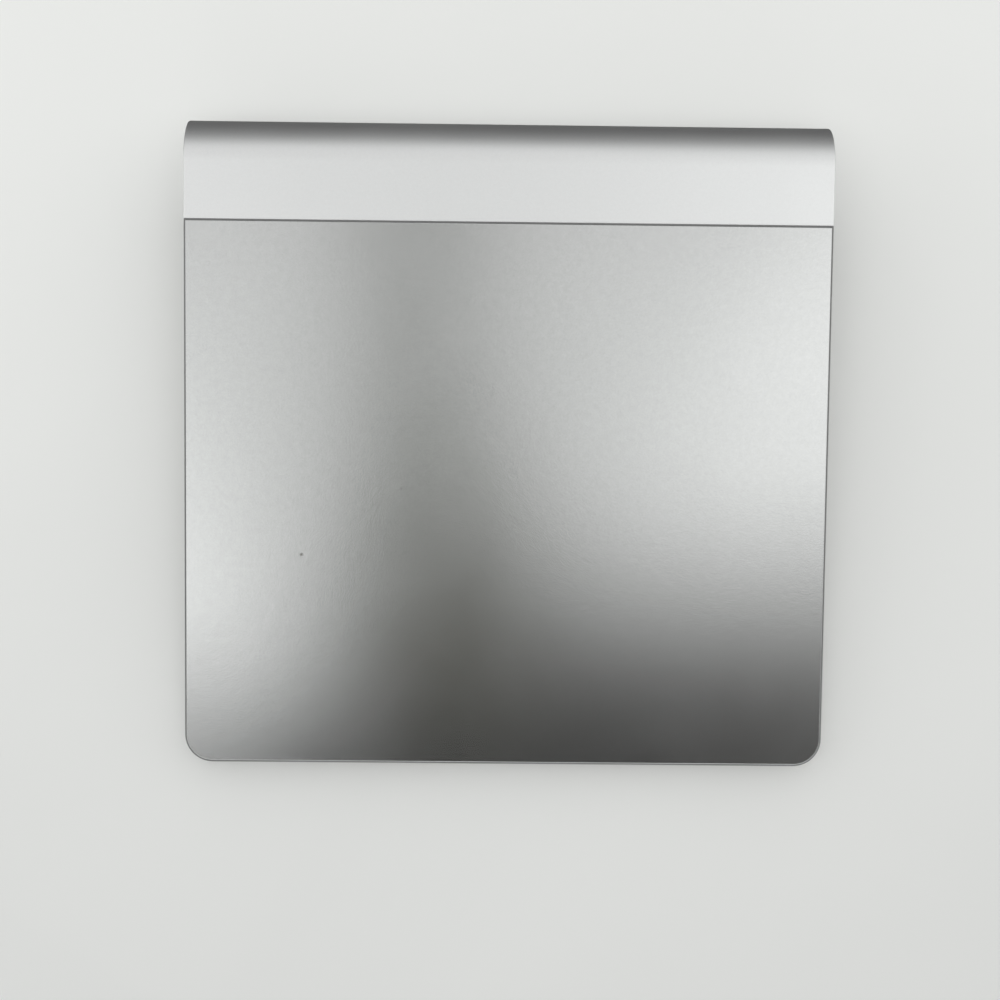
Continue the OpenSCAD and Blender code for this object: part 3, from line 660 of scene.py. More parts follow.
def tint(colour: Colour, factor: float) -> Colour:
    """Return a colour made lighter or darker by a factor, within what a surface can reflect."""
    return tuple(min(channel * factor, 1.0) for channel in colour)


@dataclass(frozen=True)
class Finish:
    """A surface finish: a colour with a fine grain, a slow drift and a relief.

    Sizes are in millimetres. The mottle is a share of the colour, and the gloss drift is how far the
    roughness goes up and down.
    """

    name: str
    colour: Colour
    metallic: float = 0.0
    roughness: float = 0.5
    grain: float = 0.25
    contrast: float = 2.2
    mottle: float = 0.06
    relief: float = 0.004
    drift: float = 25.0
    gloss_drift: float = 0.04
    coat: float = 0.0

    def make(self) -> bpy.types.Material:
        """Build the finish as a material.

        Returns:
            The new material.
        """
        material = bpy.data.materials.new(f"{self.name}_finish")
        material.use_nodes = True
        shader = material.node_tree.nodes["Principled BSDF"]
        shader.inputs["Metallic"].default_value = self.metallic
        shader.inputs["Coat Weight"].default_value = self.coat
        self.paint(Nodes(material.node_tree), shader)
        return material

    def paint(self, nodes: Nodes, shader: Node) -> None:
        """Feed the shader its colour, roughness and relief.

        Args:
            nodes: Bench of the material's tree.
            shader: The material's shader node.
        """
        grain = nodes.group(Effect.GRAIN, size=self.grain, contrast=self.contrast)
        drift = nodes.group(Effect.DRIFT, size=self.drift).outputs["Shade"]
        gloss = (self.roughness - self.gloss_drift, self.roughness + self.gloss_drift)
        inputs = {"Strength": 1.0, "Distance": self.relief * MM, "Height": self.height(nodes, grain)}
        bump = nodes.add("ShaderNodeBump", inputs)
        nodes.feed(shader.inputs["Base Color"], self.tone(nodes, grain))
        nodes.feed(shader.inputs["Roughness"], nodes.ramp(drift, (0.0, 1.0), gloss))
        nodes.feed(shader.inputs["Normal"], bump.outputs[0])

    def tone(self, nodes: Nodes, grain: Node) -> Socket:
        """Return the grained colour of the surface."""
        dark, light = tint(self.colour, 1.0 - self.mottle), tint(self.colour, 1.0 + self.mottle)
        return nodes.blend(grain.outputs["Shade"], dark, light)

    def height(self, nodes: Nodes, grain: Node) -> Socket:
        """Return the height of the relief, from 0 to 1."""
        return grain.outputs["Height"]


@dataclass(frozen=True)
class TouchFinish(Finish):
    """Etched glass over silver paint, with a few dust specks.

    The shift slides the specks' pattern, so that one lies where the photograph shows it.
    """

    speck_colour: Colour = (0.25, 0.24, 0.23)
    speck_shift: Point = (121.56, 7.77, 0.81)
    speck_spacing: float = 5.0
    speck_width: float = 1.0
    speck_share: float = 0.05

    def tone(self, nodes: Nodes, grain: Node) -> Socket:
        """Lay the specks on the grained silver.

        Args:
            nodes: Bench of the material's tree.
            grain: The grain effect, placed in that tree.

        Returns:
            The colour.
        """
        shift = tuple(value * MM for value in self.speck_shift)
        specks = nodes.group(Effect.SPECKS, spacing=self.speck_spacing, width=self.speck_width,
                             share=self.speck_share, shift=shift)
        return nodes.blend(specks.outputs["Mask"], super().tone(nodes, grain), self.speck_colour)


@dataclass(frozen=True)
class TurnedFinish(Finish):
    """Metal turned on a lathe: fine rings about the battery tube's axis."""

    centre: Point = (0.0, 0.0, 0.0)
    ring: float = 0.3
    ring_height: float = 0.5

    def height(self, nodes: Nodes, grain: Node) -> Socket:
        """Add ring-shaped tool marks to the grain.

        Args:
            nodes: Bench of the material's tree.
            grain: The grain effect, placed in that tree.

        Returns:
            The height.
        """
        middle = tuple(-value * MM for value in self.centre)
        centred = nodes.add("ShaderNodeMapping", {"Vector": nodes.place(), "Location": middle})
        inputs = {"Vector": centred.outputs[0], "Scale": WAVE_LENGTH / (self.ring * MM),
                  "Distortion": 0.4, "Detail": 1.0}
        rings = nodes.add("ShaderNodeTexWave", inputs, wave_type="RINGS", rings_direction="X")
        marks = nodes.math("MULTIPLY", rings.outputs["Fac"], self.ring_height)
        return nodes.math("ADD", marks, super().height(nodes, grain))


@dataclass(frozen=True)
class BrushedFinish(Finish):
    """Rolled spring steel with fine lines along one direction."""

    stretch: Point = (1.0, 14.0, 14.0)
    line: float = 2.4

    def tone(self, nodes: Nodes, grain: Node) -> Socket:
        """Draw the steel's rolling lines.

        Args:
            nodes: Bench of the material's tree.
            grain: The grain effect, placed in that tree; not used.

        Returns:
            The colour.
        """
        drawn = nodes.add("ShaderNodeMapping", {"Vector": nodes.place(), "Scale": self.stretch})
        lines = nodes.noise(drawn.outputs[0], 1.0 / (self.line * MM), detail=3.0)
        spread = 2 * self.mottle
        return nodes.blend(lines, tint(self.colour, 1.0 - spread), tint(self.colour, 1.0 + spread))


@dataclass(frozen=True)
class CircuitFinish(Finish):
    """Laminate or film with rows of conductor lines under its lacquer."""

    trace: Colour = (0.2, 0.45, 0.28)
    pitch: float = 1.6
    wander: float = 3.0
    trace_edge: Span = (0.62, 0.7)

    def tone(self, nodes: Nodes, grain: Node) -> Socket:
        """Lay lighter conductor lines on the base.

        Args:
            nodes: Bench of the material's tree.
            grain: The grain effect, placed in that tree.

        Returns:
            The colour.
        """
        inputs = {"Vector": nodes.place(), "Scale": WAVE_LENGTH / (self.pitch * MM),
                  "Distortion": self.wander, "Detail": 0.0, "Detail Scale": 0.6}
        lines = nodes.add("ShaderNodeTexWave", inputs, wave_type="BANDS", bands_direction="X")
        mask = nodes.ramp(lines.outputs["Fac"], self.trace_edge)
        return nodes.blend(mask, super().tone(nodes, grain), self.trace)


@dataclass(frozen=True)
class SleeveFinish(Finish):
    """Printed sleeve of a round cell: a plain body colour with a metal band at one end."""

    band: Colour = (0.72, 0.7, 0.64)
    repeat: float = 50.5
    start: float = -56.95
    share: float = 0.8

    def tone(self, nodes: Nodes, grain: Node) -> Socket:
        """Lay the band over the sleeve's colour, once for each cell.

        Args:
            nodes: Bench of the material's tree.
            grain: The grain effect, placed in that tree.

        Returns:
            The colour.
        """
        across = nodes.add("ShaderNodeSeparateXYZ", {0: nodes.place()}).outputs[0]
        past = nodes.math("SUBTRACT", across, self.start * MM)
        along = nodes.math("DIVIDE", past, self.repeat * MM)
        mask = nodes.math("GREATER_THAN", nodes.math("FRACT", along), self.share)
        return nodes.blend(mask, super().tone(nodes, grain), self.band)


@dataclass(frozen=True)
class ClearFinish(Finish):
    """Clear plastic or film with a faint grain."""

    transmission: float = 0.85

    def paint(self, nodes: Nodes, shader: Node) -> None:
        """Feed the shader its clear body as well as its colour and relief."""
        shader.inputs["Transmission Weight"].default_value = self.transmission
        super().paint(nodes, shader)


class Palette:
    """Every finish of the part: one for each slot of the record, and one for the tube's turned ends."""

    def __init__(self, layout: Layout) -> None:
        """Build the materials.

        Args:
            layout: Shared sizes of the part.
        """
        axis = (0.0, layout.tube_y, layout.tube_z)
        silver = (0.765, 0.769, 0.768)
        finishes = (
            Finish("anodised_aluminium", silver, metallic=1.0, roughness=0.4, grain=0.16, mottle=0.025,
                   relief=0.0015, gloss_drift=0.02),
            TurnedFinish("turned_aluminium", silver, metallic=1.0, roughness=0.33, grain=0.2, mottle=0.04,
                         relief=0.002, gloss_drift=0.02, centre=axis),
            TouchFinish("touch_surface", (0.575, 0.579, 0.575), metallic=1.0, roughness=0.2, grain=0.36,
                        mottle=0.036, relief=0.006, gloss_drift=0.01),
            Finish("bare_aluminium", (0.8, 0.8, 0.8), metallic=1.0, roughness=0.3, relief=0.001),
            Finish("dark_adhesive", (0.2, 0.2, 0.2), roughness=0.5),
            ClearFinish("clear_film", (0.9, 0.92, 0.92), roughness=0.15, mottle=0.02),
            CircuitFinish("circuit_board", (0.03, 0.14, 0.07), roughness=0.38),
            Finish("chip_plastic", (0.02, 0.02, 0.022), roughness=0.55, grain=0.15, mottle=0.3),
            Finish("socket_plastic", (0.03, 0.03, 0.032), roughness=0.42, grain=0.3, mottle=0.2),
            BrushedFinish("spring_steel", (0.62, 0.61, 0.59), metallic=1.0, roughness=0.3),
            CircuitFinish("flex_circuit", (0.5, 0.22, 0.04), roughness=0.3, trace=(0.62, 0.33, 0.1),
                          pitch=0.8, wander=0.0),
            Finish("panel_plastic", (0.8, 0.8, 0.79), roughness=0.45, grain=0.35, mottle=0.03,
                   relief=0.006),
            Finish("foot_rubber", (0.46, 0.465, 0.465), roughness=0.75, grain=0.18, mottle=0.1,
                   relief=0.01),
            Finish("plunger_plastic", (0.78, 0.8, 0.8), roughness=0.35, grain=0.4, mottle=0.03),
            Finish("carrier_plastic", (0.03, 0.03, 0.032), roughness=0.45, grain=0.3, mottle=0.2),
            SleeveFinish("cell_sleeve", (0.07, 0.26, 0.12), metallic=0.3, roughness=0.28, coat=0.5),
        )
        self.materials = {finish.name: finish.make() for finish in finishes}

    def dress(self, piece: Piece, name: str) -> None:
        """Give a piece one finish all over."""
        piece.data.materials.clear()
        piece.data.materials.append(self.materials[name])


@dataclass
class SubAssembly:
    """A group of pieces that is built and dressed together."""

    layout: Layout
    palette: Palette

    def fit(self, piece: Piece, body: str, slot: str, node: str, finish: str | None = None) -> None:
        """Dress a finished piece and let it ride on a body.

        Args:
            piece: The piece, in its place.
            body: Body that it rides on.
            slot: Slot of the record that it takes its finish from.
            node: Node of the frame that it stands for.
            finish: Name of its finish, where that differs from the slot.
        """
        self.stand_in(piece, slot, node, finish or slot)
        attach(piece, body)

    def stand_in(self, piece: Piece, slot: str, node: str, finish: str) -> None:
        """Dress a finished piece and put it in the place of a node.

        Args:
            piece: The piece, in its place.
            slot: Slot of the record that it takes its finish from; not used.
            node: Node of the frame that it stands for.
            finish: Name of its finish.
        """
        self.palette.dress(piece, finish)
        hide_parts(node)
        LOG.info("%s: %d faces, stands for %s", piece.name, len(piece.data.polygons), node)

    def plate(self, name: str, half: float, front: float, back: float, low: float, high: float) -> Blank:
        """Start a flat plate in the deck frame.

        Args:
            name: Name of the piece.
            half: Half of its width.
            front: Place u of its front edge.
            back: Place u of its back edge.
            low: Level n of its underside.
            high: Level n of its top.

        Returns:
            The new blank.
        """
        return Blank.block(name, (-half, front, low), (half, back, high))

    def panel_slab(self, name: str, margin: float, low: float, high: float) -> Blank:
        """Start a slab of the bottom panel's outline, with round corners.

        Args:
            name: Name of the piece.
            margin: How far its outline is grown.
            low: Level n of its underside.
            high: Level n of its top.

        Returns:
            The slab in the deck frame.
        """
        layout = self.layout
        front, back = layout.panel_front - margin, layout.panel_back + margin
        slab = self.plate(name, layout.panel_half + margin, front, back, low, high)
        slab.round_corners(upright_at(front), layout.panel_front_radius + margin, layout.corner_steps)
        slab.round_corners(upright_at(back), layout.panel_back_radius + margin, layout.panel_back_steps)
        return slab

    def bay(self) -> Blank:
        """Model the tool that opens the electronics bay.

        Returns:
            The tool in the deck frame.
        """
        layout = self.layout
        tool = self.plate("bay_tool", layout.bay_half, layout.bay_front, layout.bay_back,
                          layout.tape_top - PAST, PAST)
        tool.round_corners(upright_at(layout.bay_front), layout.bay_radius, layout.bay_steps)
        return tool

    def drill_screws(self, blank: Blank) -> None:
        """Cut the holes for the two screws of the right leaf spring.

        Args:
            blank: The blank that they go through, in the deck frame.
        """
        layout = self.layout
        for along in (-layout.screw_pitch / 2, layout.screw_pitch / 2):
            centre = Vector((layout.screw_x, layout.foot_u + along, 0.0))
            blank.combine(Blank.post("screw_tool", layout.screw_hole, centre, (layout.underside, 0.0),
                                     layout.screw_steps))

    def rear_foot(self, name: str, margin: float, low: float) -> Blank:
        """Start a stadium-shaped block under the right end of the tube.

        Args:
            name: Name of the piece.
            margin: How far its outline is grown.
            low: Height of its underside.

        Returns:
            The new blank, in millimetres of the whole part.
        """
        layout = self.layout
        half_length, half_width = (half + margin for half in layout.rear_foot_half)
        x, y = layout.rear_foot_x, layout.tube_y
        block = Blank.block(name, (x - half_length, y - half_width, low),
                            (x + half_length, y + half_width, layout.rear_foot_top))
        block.round_corners(is_upright, half_width - CORNER_GAP, layout.rear_foot_steps)
        return block


@dataclass
class Housing(SubAssembly):
    """Aluminium body: frame, rear band and battery tube in one piece."""

    bore_radius: float = 7.6
    ring_radius: float = 8.0
    ring_end: float = -58.7
    mouth: float = 0.2
    seam_round: float = 0.14
    end_round: float = 0.18
    ledge_round: float = 0.08
    panel_gap: float = 0.1
    pocket_gap: float = 0.1
    slot_low: Point = (48.55, 105.4, -3.25)
    slot_high: Point = (55.55, 117.97, -2.15)
    web_x: Span = (39.5, 61.5)
    web_u: Span = (3.5, 18.7)
    web_n: Span = (-2.4, -1.8)
    boss_x: Span = (39.5, 42.1)
    boss_u: Span = (8.6, 16.4)
    boss_n: Span = (-3.2, -2.3)

    def build(self) -> None:
        """Model the housing, cut it out and join it to the frame."""
        shell = self.profile()
        self.soften_edges(shell)
        for tool in self.tools():
            shell.combine(tool)
        for web in self.web().both().values():
            shell.combine(web, Join.ADD)
        self.fit(shell.seat(self.layout.deck), "root", "anodised_aluminium", "enclosure")

    def profile(self) -> Blank:
        """Draw the side profile across the whole width, close its ends and round the front corners.

        Returns:
            The closed shell in the deck frame.
        """
        layout, tube = self.layout, self.layout.tube
        half, radius = layout.half_width, -tube.z
        dip = math.asin((layout.underside - tube.z) / radius)
        shell = Blank.point("housing", Vector((-half, tube.y, 0.0)))
        corners = (
            (tube.y - radius * math.cos(dip), layout.underside),
            (0.0, layout.underside),
            (0.0, layout.ledge),
            (layout.seam, layout.ledge),
            (layout.seam, 0.0),
            (tube.y, 0.0),
        )
        with shell.editing():
            shell.extrude(Vector((2 * half, 0.0, 0.0)))
            bpy.ops.mesh.select_all(action="SELECT")
            bpy.ops.mesh.spin(steps=layout.tube_steps, angle=0.75 * math.tau + dip,
                              center=(0.0, tube.y, tube.z), axis=(1.0, 0.0, 0.0))
            shell.trace([Vector((0.0, *corner)) for corner in corners])
            bpy.ops.mesh.select_all(action="SELECT")
            bpy.ops.mesh.remove_doubles(threshold=NEAR)
            for end in (-half, half):
                shell.select(Kind.EDGE, lambda edge, end=end: lies(edge, X, end))
                bpy.ops.mesh.edge_face_add()
            shell.heal()
        shell.round_corners(lambda edge: lies(edge, X, -half, half) and lies(edge, U, 0.0),
                            layout.corner_radius, layout.corner_steps)
        return shell

    def soften_edges(self, shell: Blank) -> None:
        """Break the outer edges: widest at the ends, and least at the ledge under the gasket.

        Args:
            shell: The closed shell.
        """
        at_ledge, at_top = sharp_at(self.layout.ledge), sharp_at(0.0)

        def at_seam(edge: Edge) -> bool:
            """Say whether an edge is the band's front edge."""
            return at_top(edge) and lies(edge, U, self.layout.seam)

        def elsewhere(edge: Edge) -> bool:
            """Say whether an edge is any other sharp one."""
            return is_sharp(edge) and not at_seam(edge) and not at_ledge(edge)

        shell.soften((at_seam, self.seam_round), (at_ledge, self.ledge_round), (elsewhere, self.end_round))

    def tools(self) -> Iterator[Blank]:
        """Make the tools that are cut from the shell, one after the other.

        Returns:
            The tools in the deck frame.
        """
        layout = self.layout
        yield self.bay()
        yield self.panel_slab("panel_tool", self.panel_gap, layout.underside - PAST, layout.tape_top)
        yield self.bore()
        yield Blank.block("slot_tool", self.slot_low, self.slot_high)
        pocket = self.rear_foot("pocket_right", self.pocket_gap, -PAST)
        pocket.place(layout.deck.inverted())
        yield from pocket.both().values()

    def bore(self) -> Blank:
        """Turn the tool that bores the tube, with a wider seat for the thread ring on the left.

        Returns:
            The tool in the deck frame.
        """
        layout = self.layout
        outside, past = layout.half_width, layout.half_width + PAST
        ring, bore, flare = self.ring_radius, self.bore_radius, self.mouth + PAST
        profile = (
            (0.0, -past), (ring + flare, -past), (ring, self.mouth - outside), (ring, self.ring_end),
            (bore, self.ring_end), (bore, outside - self.mouth), (bore + flare, past), (0.0, past),
        )
        return Blank.turned("bore_tool", profile, layout.tube, Axis.TUBE, layout.tube_steps)

    def web(self) -> Blank:
        """Model the web in the right front corner that carries a click switch and its leaf spring.

        Returns:
            The web with its boss and screw holes.
        """
        web = Blank.block("web_right", *zip(self.web_x, self.web_u, self.web_n))
        web.combine(Blank.block("boss", *zip(self.boss_x, self.boss_u, self.boss_n)), Join.ADD)
        self.drill_screws(web)
        return web


@dataclass
class TouchTop(SubAssembly):
    """Glass touch plate and the dark gasket that it lies on."""

    glass_inset: float = 0.3
    seam_gap: float = 0.3
    top_round: float = 0.22
    foot_round: float = 0.1
    lip_inset: float = 0.02
    lip_gap: float = 0.02
    lip_top: float = -0.2
    lip_round: float = 0.06

    def build(self) -> None:
        """Model the glass and the gasket, and join them to the frame."""
        self.fit(self.glass().seat(self.layout.deck), "root", "touch_surface", "touch_glass")
        self.fit(self.gasket().seat(self.layout.deck), "root", "dark_adhesive", "glass_gasket")

    def slab(self, name: str, inset: float, gap: float, low: float, high: float) -> Blank:
        """Start a plate of the touch surface's outline, with round front corners.

        Args:
            name: Name of the piece.
            inset: How far it lies inside the body's outline.
            gap: How far it stays off the rear band.
            low: Level n of its underside.
            high: Level n of its top.

        Returns:
            The plate in the deck frame.
        """
        layout = self.layout
        plate = self.plate(name, layout.half_width - inset, inset, layout.seam - gap, low, high)
        plate.round_corners(upright_at(inset), layout.corner_radius - inset, layout.corner_steps)
        return plate

    def glass(self) -> Blank:
        """Model the glass with a softened rim.

        Returns:
            The plate in the deck frame.
        """
        floor = self.layout.glass_floor
        plate = self.slab("touch_plate", self.glass_inset, self.seam_gap, floor, 0.0)
        plate.soften((sharp_at(0.0), self.top_round), (sharp_at(floor), self.foot_round), steps=4)
        return plate

    def gasket(self) -> Blank:
        """Model the gasket: a flat ring under the glass, with a thin lip that stands round its edge.

        Returns:
            The ring in the deck frame.
        """
        ring = self.slab("gasket_ring", self.lip_inset, 0.0, self.layout.ledge, self.lip_top)
        ring.soften((sharp_at(self.lip_top), self.lip_round))
        ring.combine(self.slab("pocket_tool", self.glass_inset - self.lip_gap, self.seam_gap - self.lip_gap,
                               self.layout.glass_floor, PAST))
        ring.combine(self.bay())
        return ring


@dataclass
class Underside(SubAssembly):
    """Bottom panel, the two rear strips and the two front pads."""

    panel_round: float = 0.2
    hole_radius: float = 4.4
    hole_mouth: float = 0.15
    pad_radius: float = 4.8
    pad_round: float = 0.6
    pad_steps: int = 8
    strip_round: float = 0.3

    def build(self) -> None:
        """Model the panel and the feet, and join them to the frame."""
        self.fit(self.panel().seat(self.layout.deck), "root", "panel_plastic", "bottom_panel")
        strip = self.rear_foot("rear_strip_right", 0.0, 0.0)
        strip.soften((sharp_at(0.0), self.strip_round), steps=4)
        pad = self.pad()
        strips, pads = strip.both(), pad.both()
        for side in Side:
            self.fit(strips[side].seat(Matrix.Identity(4)), "root", "foot_rubber", f"rear_foot_{side.word}")
            self.fit(pads[side].seat(Matrix.Identity(4)), f"click_foot_{side.word}", "foot_rubber",
                     f"front_foot_{side.word}")

    def panel(self) -> Blank:
        """Model the bottom panel with its foot holes.

        Returns:
            The panel in the deck frame.
        """
        layout = self.layout
        panel = self.panel_slab("underside_panel", 0.0, layout.underside, layout.panel_top)
        panel.soften((sharp_at(layout.underside), self.panel_round))
        past, mouth = layout.underside - PAST, layout.underside + self.hole_mouth
        radius, flare = self.hole_radius, self.hole_radius + self.hole_mouth + PAST
        profile = ((0.0, past), (flare, past), (radius, mouth), (radius, 0.0), (0.0, 0.0))
        middle = Vector((layout.foot_x, layout.foot_u, 0.0))
        for hole in Blank.turned("hole_right", profile, middle, Axis.UPRIGHT).both().values():
            panel.combine(hole)
        return panel

    def pad(self) -> Blank:
        """Model the right front pad: turned, flat on the desk, and cut to the slope under its plunger.

        Returns:
            The pad in millimetres of the whole part.
        """
        layout = self.layout
        seat = layout.deck @ Vector((layout.foot_x, layout.foot_u, layout.stem_bottom))
        bends = [math.pi / 2 * step / self.pad_steps for step in range(self.pad_steps + 1)]
        rim = [(self.pad_radius - self.pad_round * (1.0 - math.sin(bend)),
                self.pad_round * (1.0 - math.cos(bend))) for bend in bends]
        profile = [(0.0, 0.0), *rim, (self.pad_radius, 2 * seat.z), (0.0, 2 * seat.z)]
        pad = Blank.turned("front_pad_right", profile, Vector((seat.x, seat.y, 0.0)), Axis.UPRIGHT)
        with pad.editing():
            bpy.ops.mesh.select_all(action="SELECT")
            bpy.ops.mesh.bisect(plane_co=seat, plane_no=layout.deck.to_3x3() @ Vector((0.0, 0.0, 1.0)),
                                use_fill=True, clear_outer=True)
            pad.heal()
        return pad


@dataclass
class ClickLeaves(SubAssembly):
    """Two leaf springs that bend between their screws and the front feet."""

    low: float = -3.4
    high: float = -3.2
    ring_radius: float = 5.2
    ring_inside: float = 3.51
    ring_steps: int = 72
    arm_start: float = 39.5
    arm_half: float = 3.9
    held: float = 42.1
    lifted: float = 47.0
    bends: int = 8

    def build(self) -> None:
        """Model the leaves and put each in the place of its node."""
        deck, foot_u = self.layout.deck, self.layout.foot_u
        for side, leaf in self.leaf().both().items():
            piece = leaf.seat(deck)
            self.stand_in(piece, "spring_steel", f"click_leaf_{side.word}", "spring_steel")
            start, end = (deck @ Vector((side.value * x, foot_u, self.low)) * MM
                          for x in (self.held, self.lifted))
            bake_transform(piece)
            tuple(start)
            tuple(end)

    def leaf(self) -> Blank:
        """Model the right leaf: a ring, and an arm to its screws that is parted where it bends.

        Returns:
            The leaf in the deck frame.
        """
        outline = self.outline()
        leaf = Blank.point("spring_leaf_right", outline[0])
        with leaf.editing():
            leaf.trace(outline)
            leaf.heal()
            bpy.ops.mesh.edge_face_add()
            leaf.extrude(Vector((0.0, 0.0, self.high - self.low)))
            for bend in range(self.bends + 1):
                place = self.held + (self.lifted - self.held) * bend / self.bends
                bpy.ops.mesh.select_all(action="SELECT")
                bpy.ops.mesh.bisect(plane_co=(place, 0.0, 0.0), plane_no=(1.0, 0.0, 0.0))
            leaf.heal()
        middle = Vector((self.layout.foot_x, self.layout.foot_u, 0.0))
        leaf.combine(Blank.post("ring_tool", self.ring_inside, middle, (self.layout.underside, 0.0)))
        self.drill_screws(leaf)
        return leaf

    def outline(self) -> list[Vector]:
        """Draw the leaf's outline: along one side of the arm, round the ring and back.

        Returns:
            The points of the outline, which ends where it starts.
        """
        middle = Vector((self.layout.foot_x, self.layout.foot_u, self.low))
        joint = math.asin(self.arm_half / self.ring_radius)
        sweep = math.tau - 2 * joint
        turns = [math.pi + joint + sweep * step / self.ring_steps for step in range(self.ring_steps + 1)]
        ring = [middle + self.ring_radius * Vector((math.cos(turn), math.sin(turn), 0.0)) for turn in turns]
        start, end = (Vector((self.arm_start, middle.y + half, self.low))
                      for half in (-self.arm_half, self.arm_half))
        return [start, *ring, end, start]


@dataclass
class BatteryEnd(SubAssembly):
    """Screw cap in the left end of the tube."""

    head_radius: float = 7.85
    head_start: float = -64.9
    head_end: float = -63.1
    skirt_radius: float = 7.3
    skirt_inside: float = 6.5
    skirt_end: float = -58.8
    post_radius: float = 2.2
    post_end: float = -59.67
    rivet_hole: float = 1.05
    rivet_floor: float = -62.6
    rim: float = 0.3
    rim_middle: float = 0.09
    slot_half: float = 4.75
    slot_half_width: float = 0.9
    slot_depth: float = 0.9
    slot_mouth: float = 0.15
    slot_steps: int = 12
    thread_start: float = -61.55
    thread_pitch: float = 1.5
    thread_turns: float = 1.5
    thread_steps: int = 144
    thread_root: float = 7.2
    thread_crest: float = 7.6
    thread_foot: float = 0.4
    thread_tip: float = 0.15

    def build(self) -> None:
        """Model the cap and join it to the frame."""
        layout = self.layout
        cap = Blank.turned("screw_lid", self.outline(), layout.tube, Axis.TUBE, layout.tube_steps)
        cap.combine(self.thread(), Join.ADD)
        cap.combine(self.coin_slot())
        with cap.editing():
            cap.heal()
        self.fit(cap.seat(layout.deck), "screw_cap", "anodised_aluminium", "battery_cap",
                 "turned_aluminium")

    def outline(self) -> Profile:
        """Draw the cap's section, from the middle of its face to the rivet hole.

        Returns:
            Radius and place along the axis of each point.
        """
        start, end, radius = self.head_start, self.head_end, self.head_radius
        return (
            (0.0, start), (radius - self.rim, start), (radius - self.rim_middle, start + self.rim_middle),
            (radius, start + self.rim), (radius, end), (self.skirt_radius, end),
            (self.skirt_radius, self.skirt_end), (self.skirt_inside, self.skirt_end),
            (self.skirt_inside, end), (self.post_radius, end), (self.post_radius, self.post_end),
            (self.rivet_hole, self.post_end), (self.rivet_hole, self.rivet_floor), (0.0, self.rivet_floor),
        )

    def thread(self) -> Blank:
        """Sweep the ridge of the screw thread.

        Returns:
            The closed ridge in the deck frame.
        """
        section = (
            (self.thread_root, -self.thread_foot), (self.thread_crest, -self.thread_tip),
            (self.thread_crest, self.thread_tip), (self.thread_root, self.thread_foot),
            (self.thread_root, -self.thread_foot),
        )
        chain = [Vector((self.thread_start + step, radius, 0.0)) for radius, step in section]
        ridge = Blank.point("thread_tool", chain[0])
        with ridge.editing():
            ridge.trace(chain)
            ridge.heal()
        ridge.modify("SCREW", axis="X", angle=math.tau * self.thread_turns, steps=self.thread_steps,
                     render_steps=self.thread_steps, screw_offset=self.thread_pitch * self.thread_turns)
        with ridge.editing():
            ridge.select(Kind.EDGE, lambda edge: edge.is_boundary)
            bpy.ops.mesh.fill_holes(sides=4)
            ridge.heal()
        ridge.place(Matrix.Translation(self.layout.tube))
        return ridge

    def coin_slot(self) -> Blank:
        """Model the tool for the coin slot, with round ends and a broken mouth.

        Returns:
            The tool in the deck frame.
        """
        tube, half, width = self.layout.tube, self.slot_half, self.slot_half_width
        floor, flare = self.head_start + self.slot_depth, PAST + self.slot_mouth
        tool = Blank.block("slot_tool", (self.head_start, tube.y - half, tube.z - width),
                           (floor, tube.y + half, tube.z + width))
        tool.round_corners(lambda edge: not lies(edge, X, edge.verts[0].co.x), width - CORNER_GAP,
                           self.slot_steps)
        with tool.editing():
            tool.select(Kind.FACE, lambda face: lies(face, X, self.head_start))
            tool.extrude(Vector((-PAST, 0.0, 0.0)))
            bpy.ops.transform.resize(value=(1.0, 1.0 + flare / half, 1.0 + flare / width),
                                     center_override=(self.head_start - PAST, tube.y, tube.z))
            tool.heal()
        return tool


@dataclass
class PowerEnd(SubAssembly):
    """Round power button in the right end of the tube."""

    radius: float = 7.4
    face: float = 64.85
    back: float = 63.25
    rim: float = 0.6
    dish: float = 0.35
    dish_rings: int = 16
    edge: float = 0.15
    stem_radius: float = 2.0
    stem_end: float = 60.43
    tail_radius: float = 1.5
    tail_end: float = 59.23

    def build(self) -> None:
        """Model the button and join it to the frame."""
        layout = self.layout
        profile = (
            *self.hollow(), (self.radius - self.edge, self.face), (self.radius, self.face - self.edge),
            (self.radius, self.back), (self.stem_radius, self.back), (self.stem_radius, self.stem_end),
            (self.tail_radius, self.stem_end), (self.tail_radius, self.tail_end), (0.0, self.tail_end),
        )
        button = Blank.turned("power_key_top", profile, layout.tube, Axis.TUBE, layout.tube_steps)
        self.fit(button.seat(layout.deck), "power_key", "anodised_aluminium", "power_button",
                 "turned_aluminium")

    def hollow(self) -> Iterator[tuple[float, float]]:
        """Draw the face's shallow dish, from its middle to the rim.

        Returns:
            Radius and place along the axis of each point.
        """
        widest = self.radius - self.rim
        sphere = (widest ** 2 + self.dish ** 2) / (2 * self.dish)
        for ring in range(self.dish_rings + 1):
            radius = widest * ring / self.dish_rings
            depth = math.sqrt(sphere ** 2 - radius ** 2) - (sphere - self.dish)
            yield radius, self.face - depth


@dataclass
class Innards(SubAssembly):
    """Pieces of the frame whose own shape stays, dressed by their slots."""

    def build(self) -> None:
        """Give each node that is still shown the finish of its slot."""
        for part in frame["record"]["subparts"]:
            node = frame["nodes"][part["node"]]
            if not node.hide_render:
                self.palette.dress(node, part["material_slot"])
                LOG.info("%s: keeps its shape, %s", part["node"], part["material_slot"])


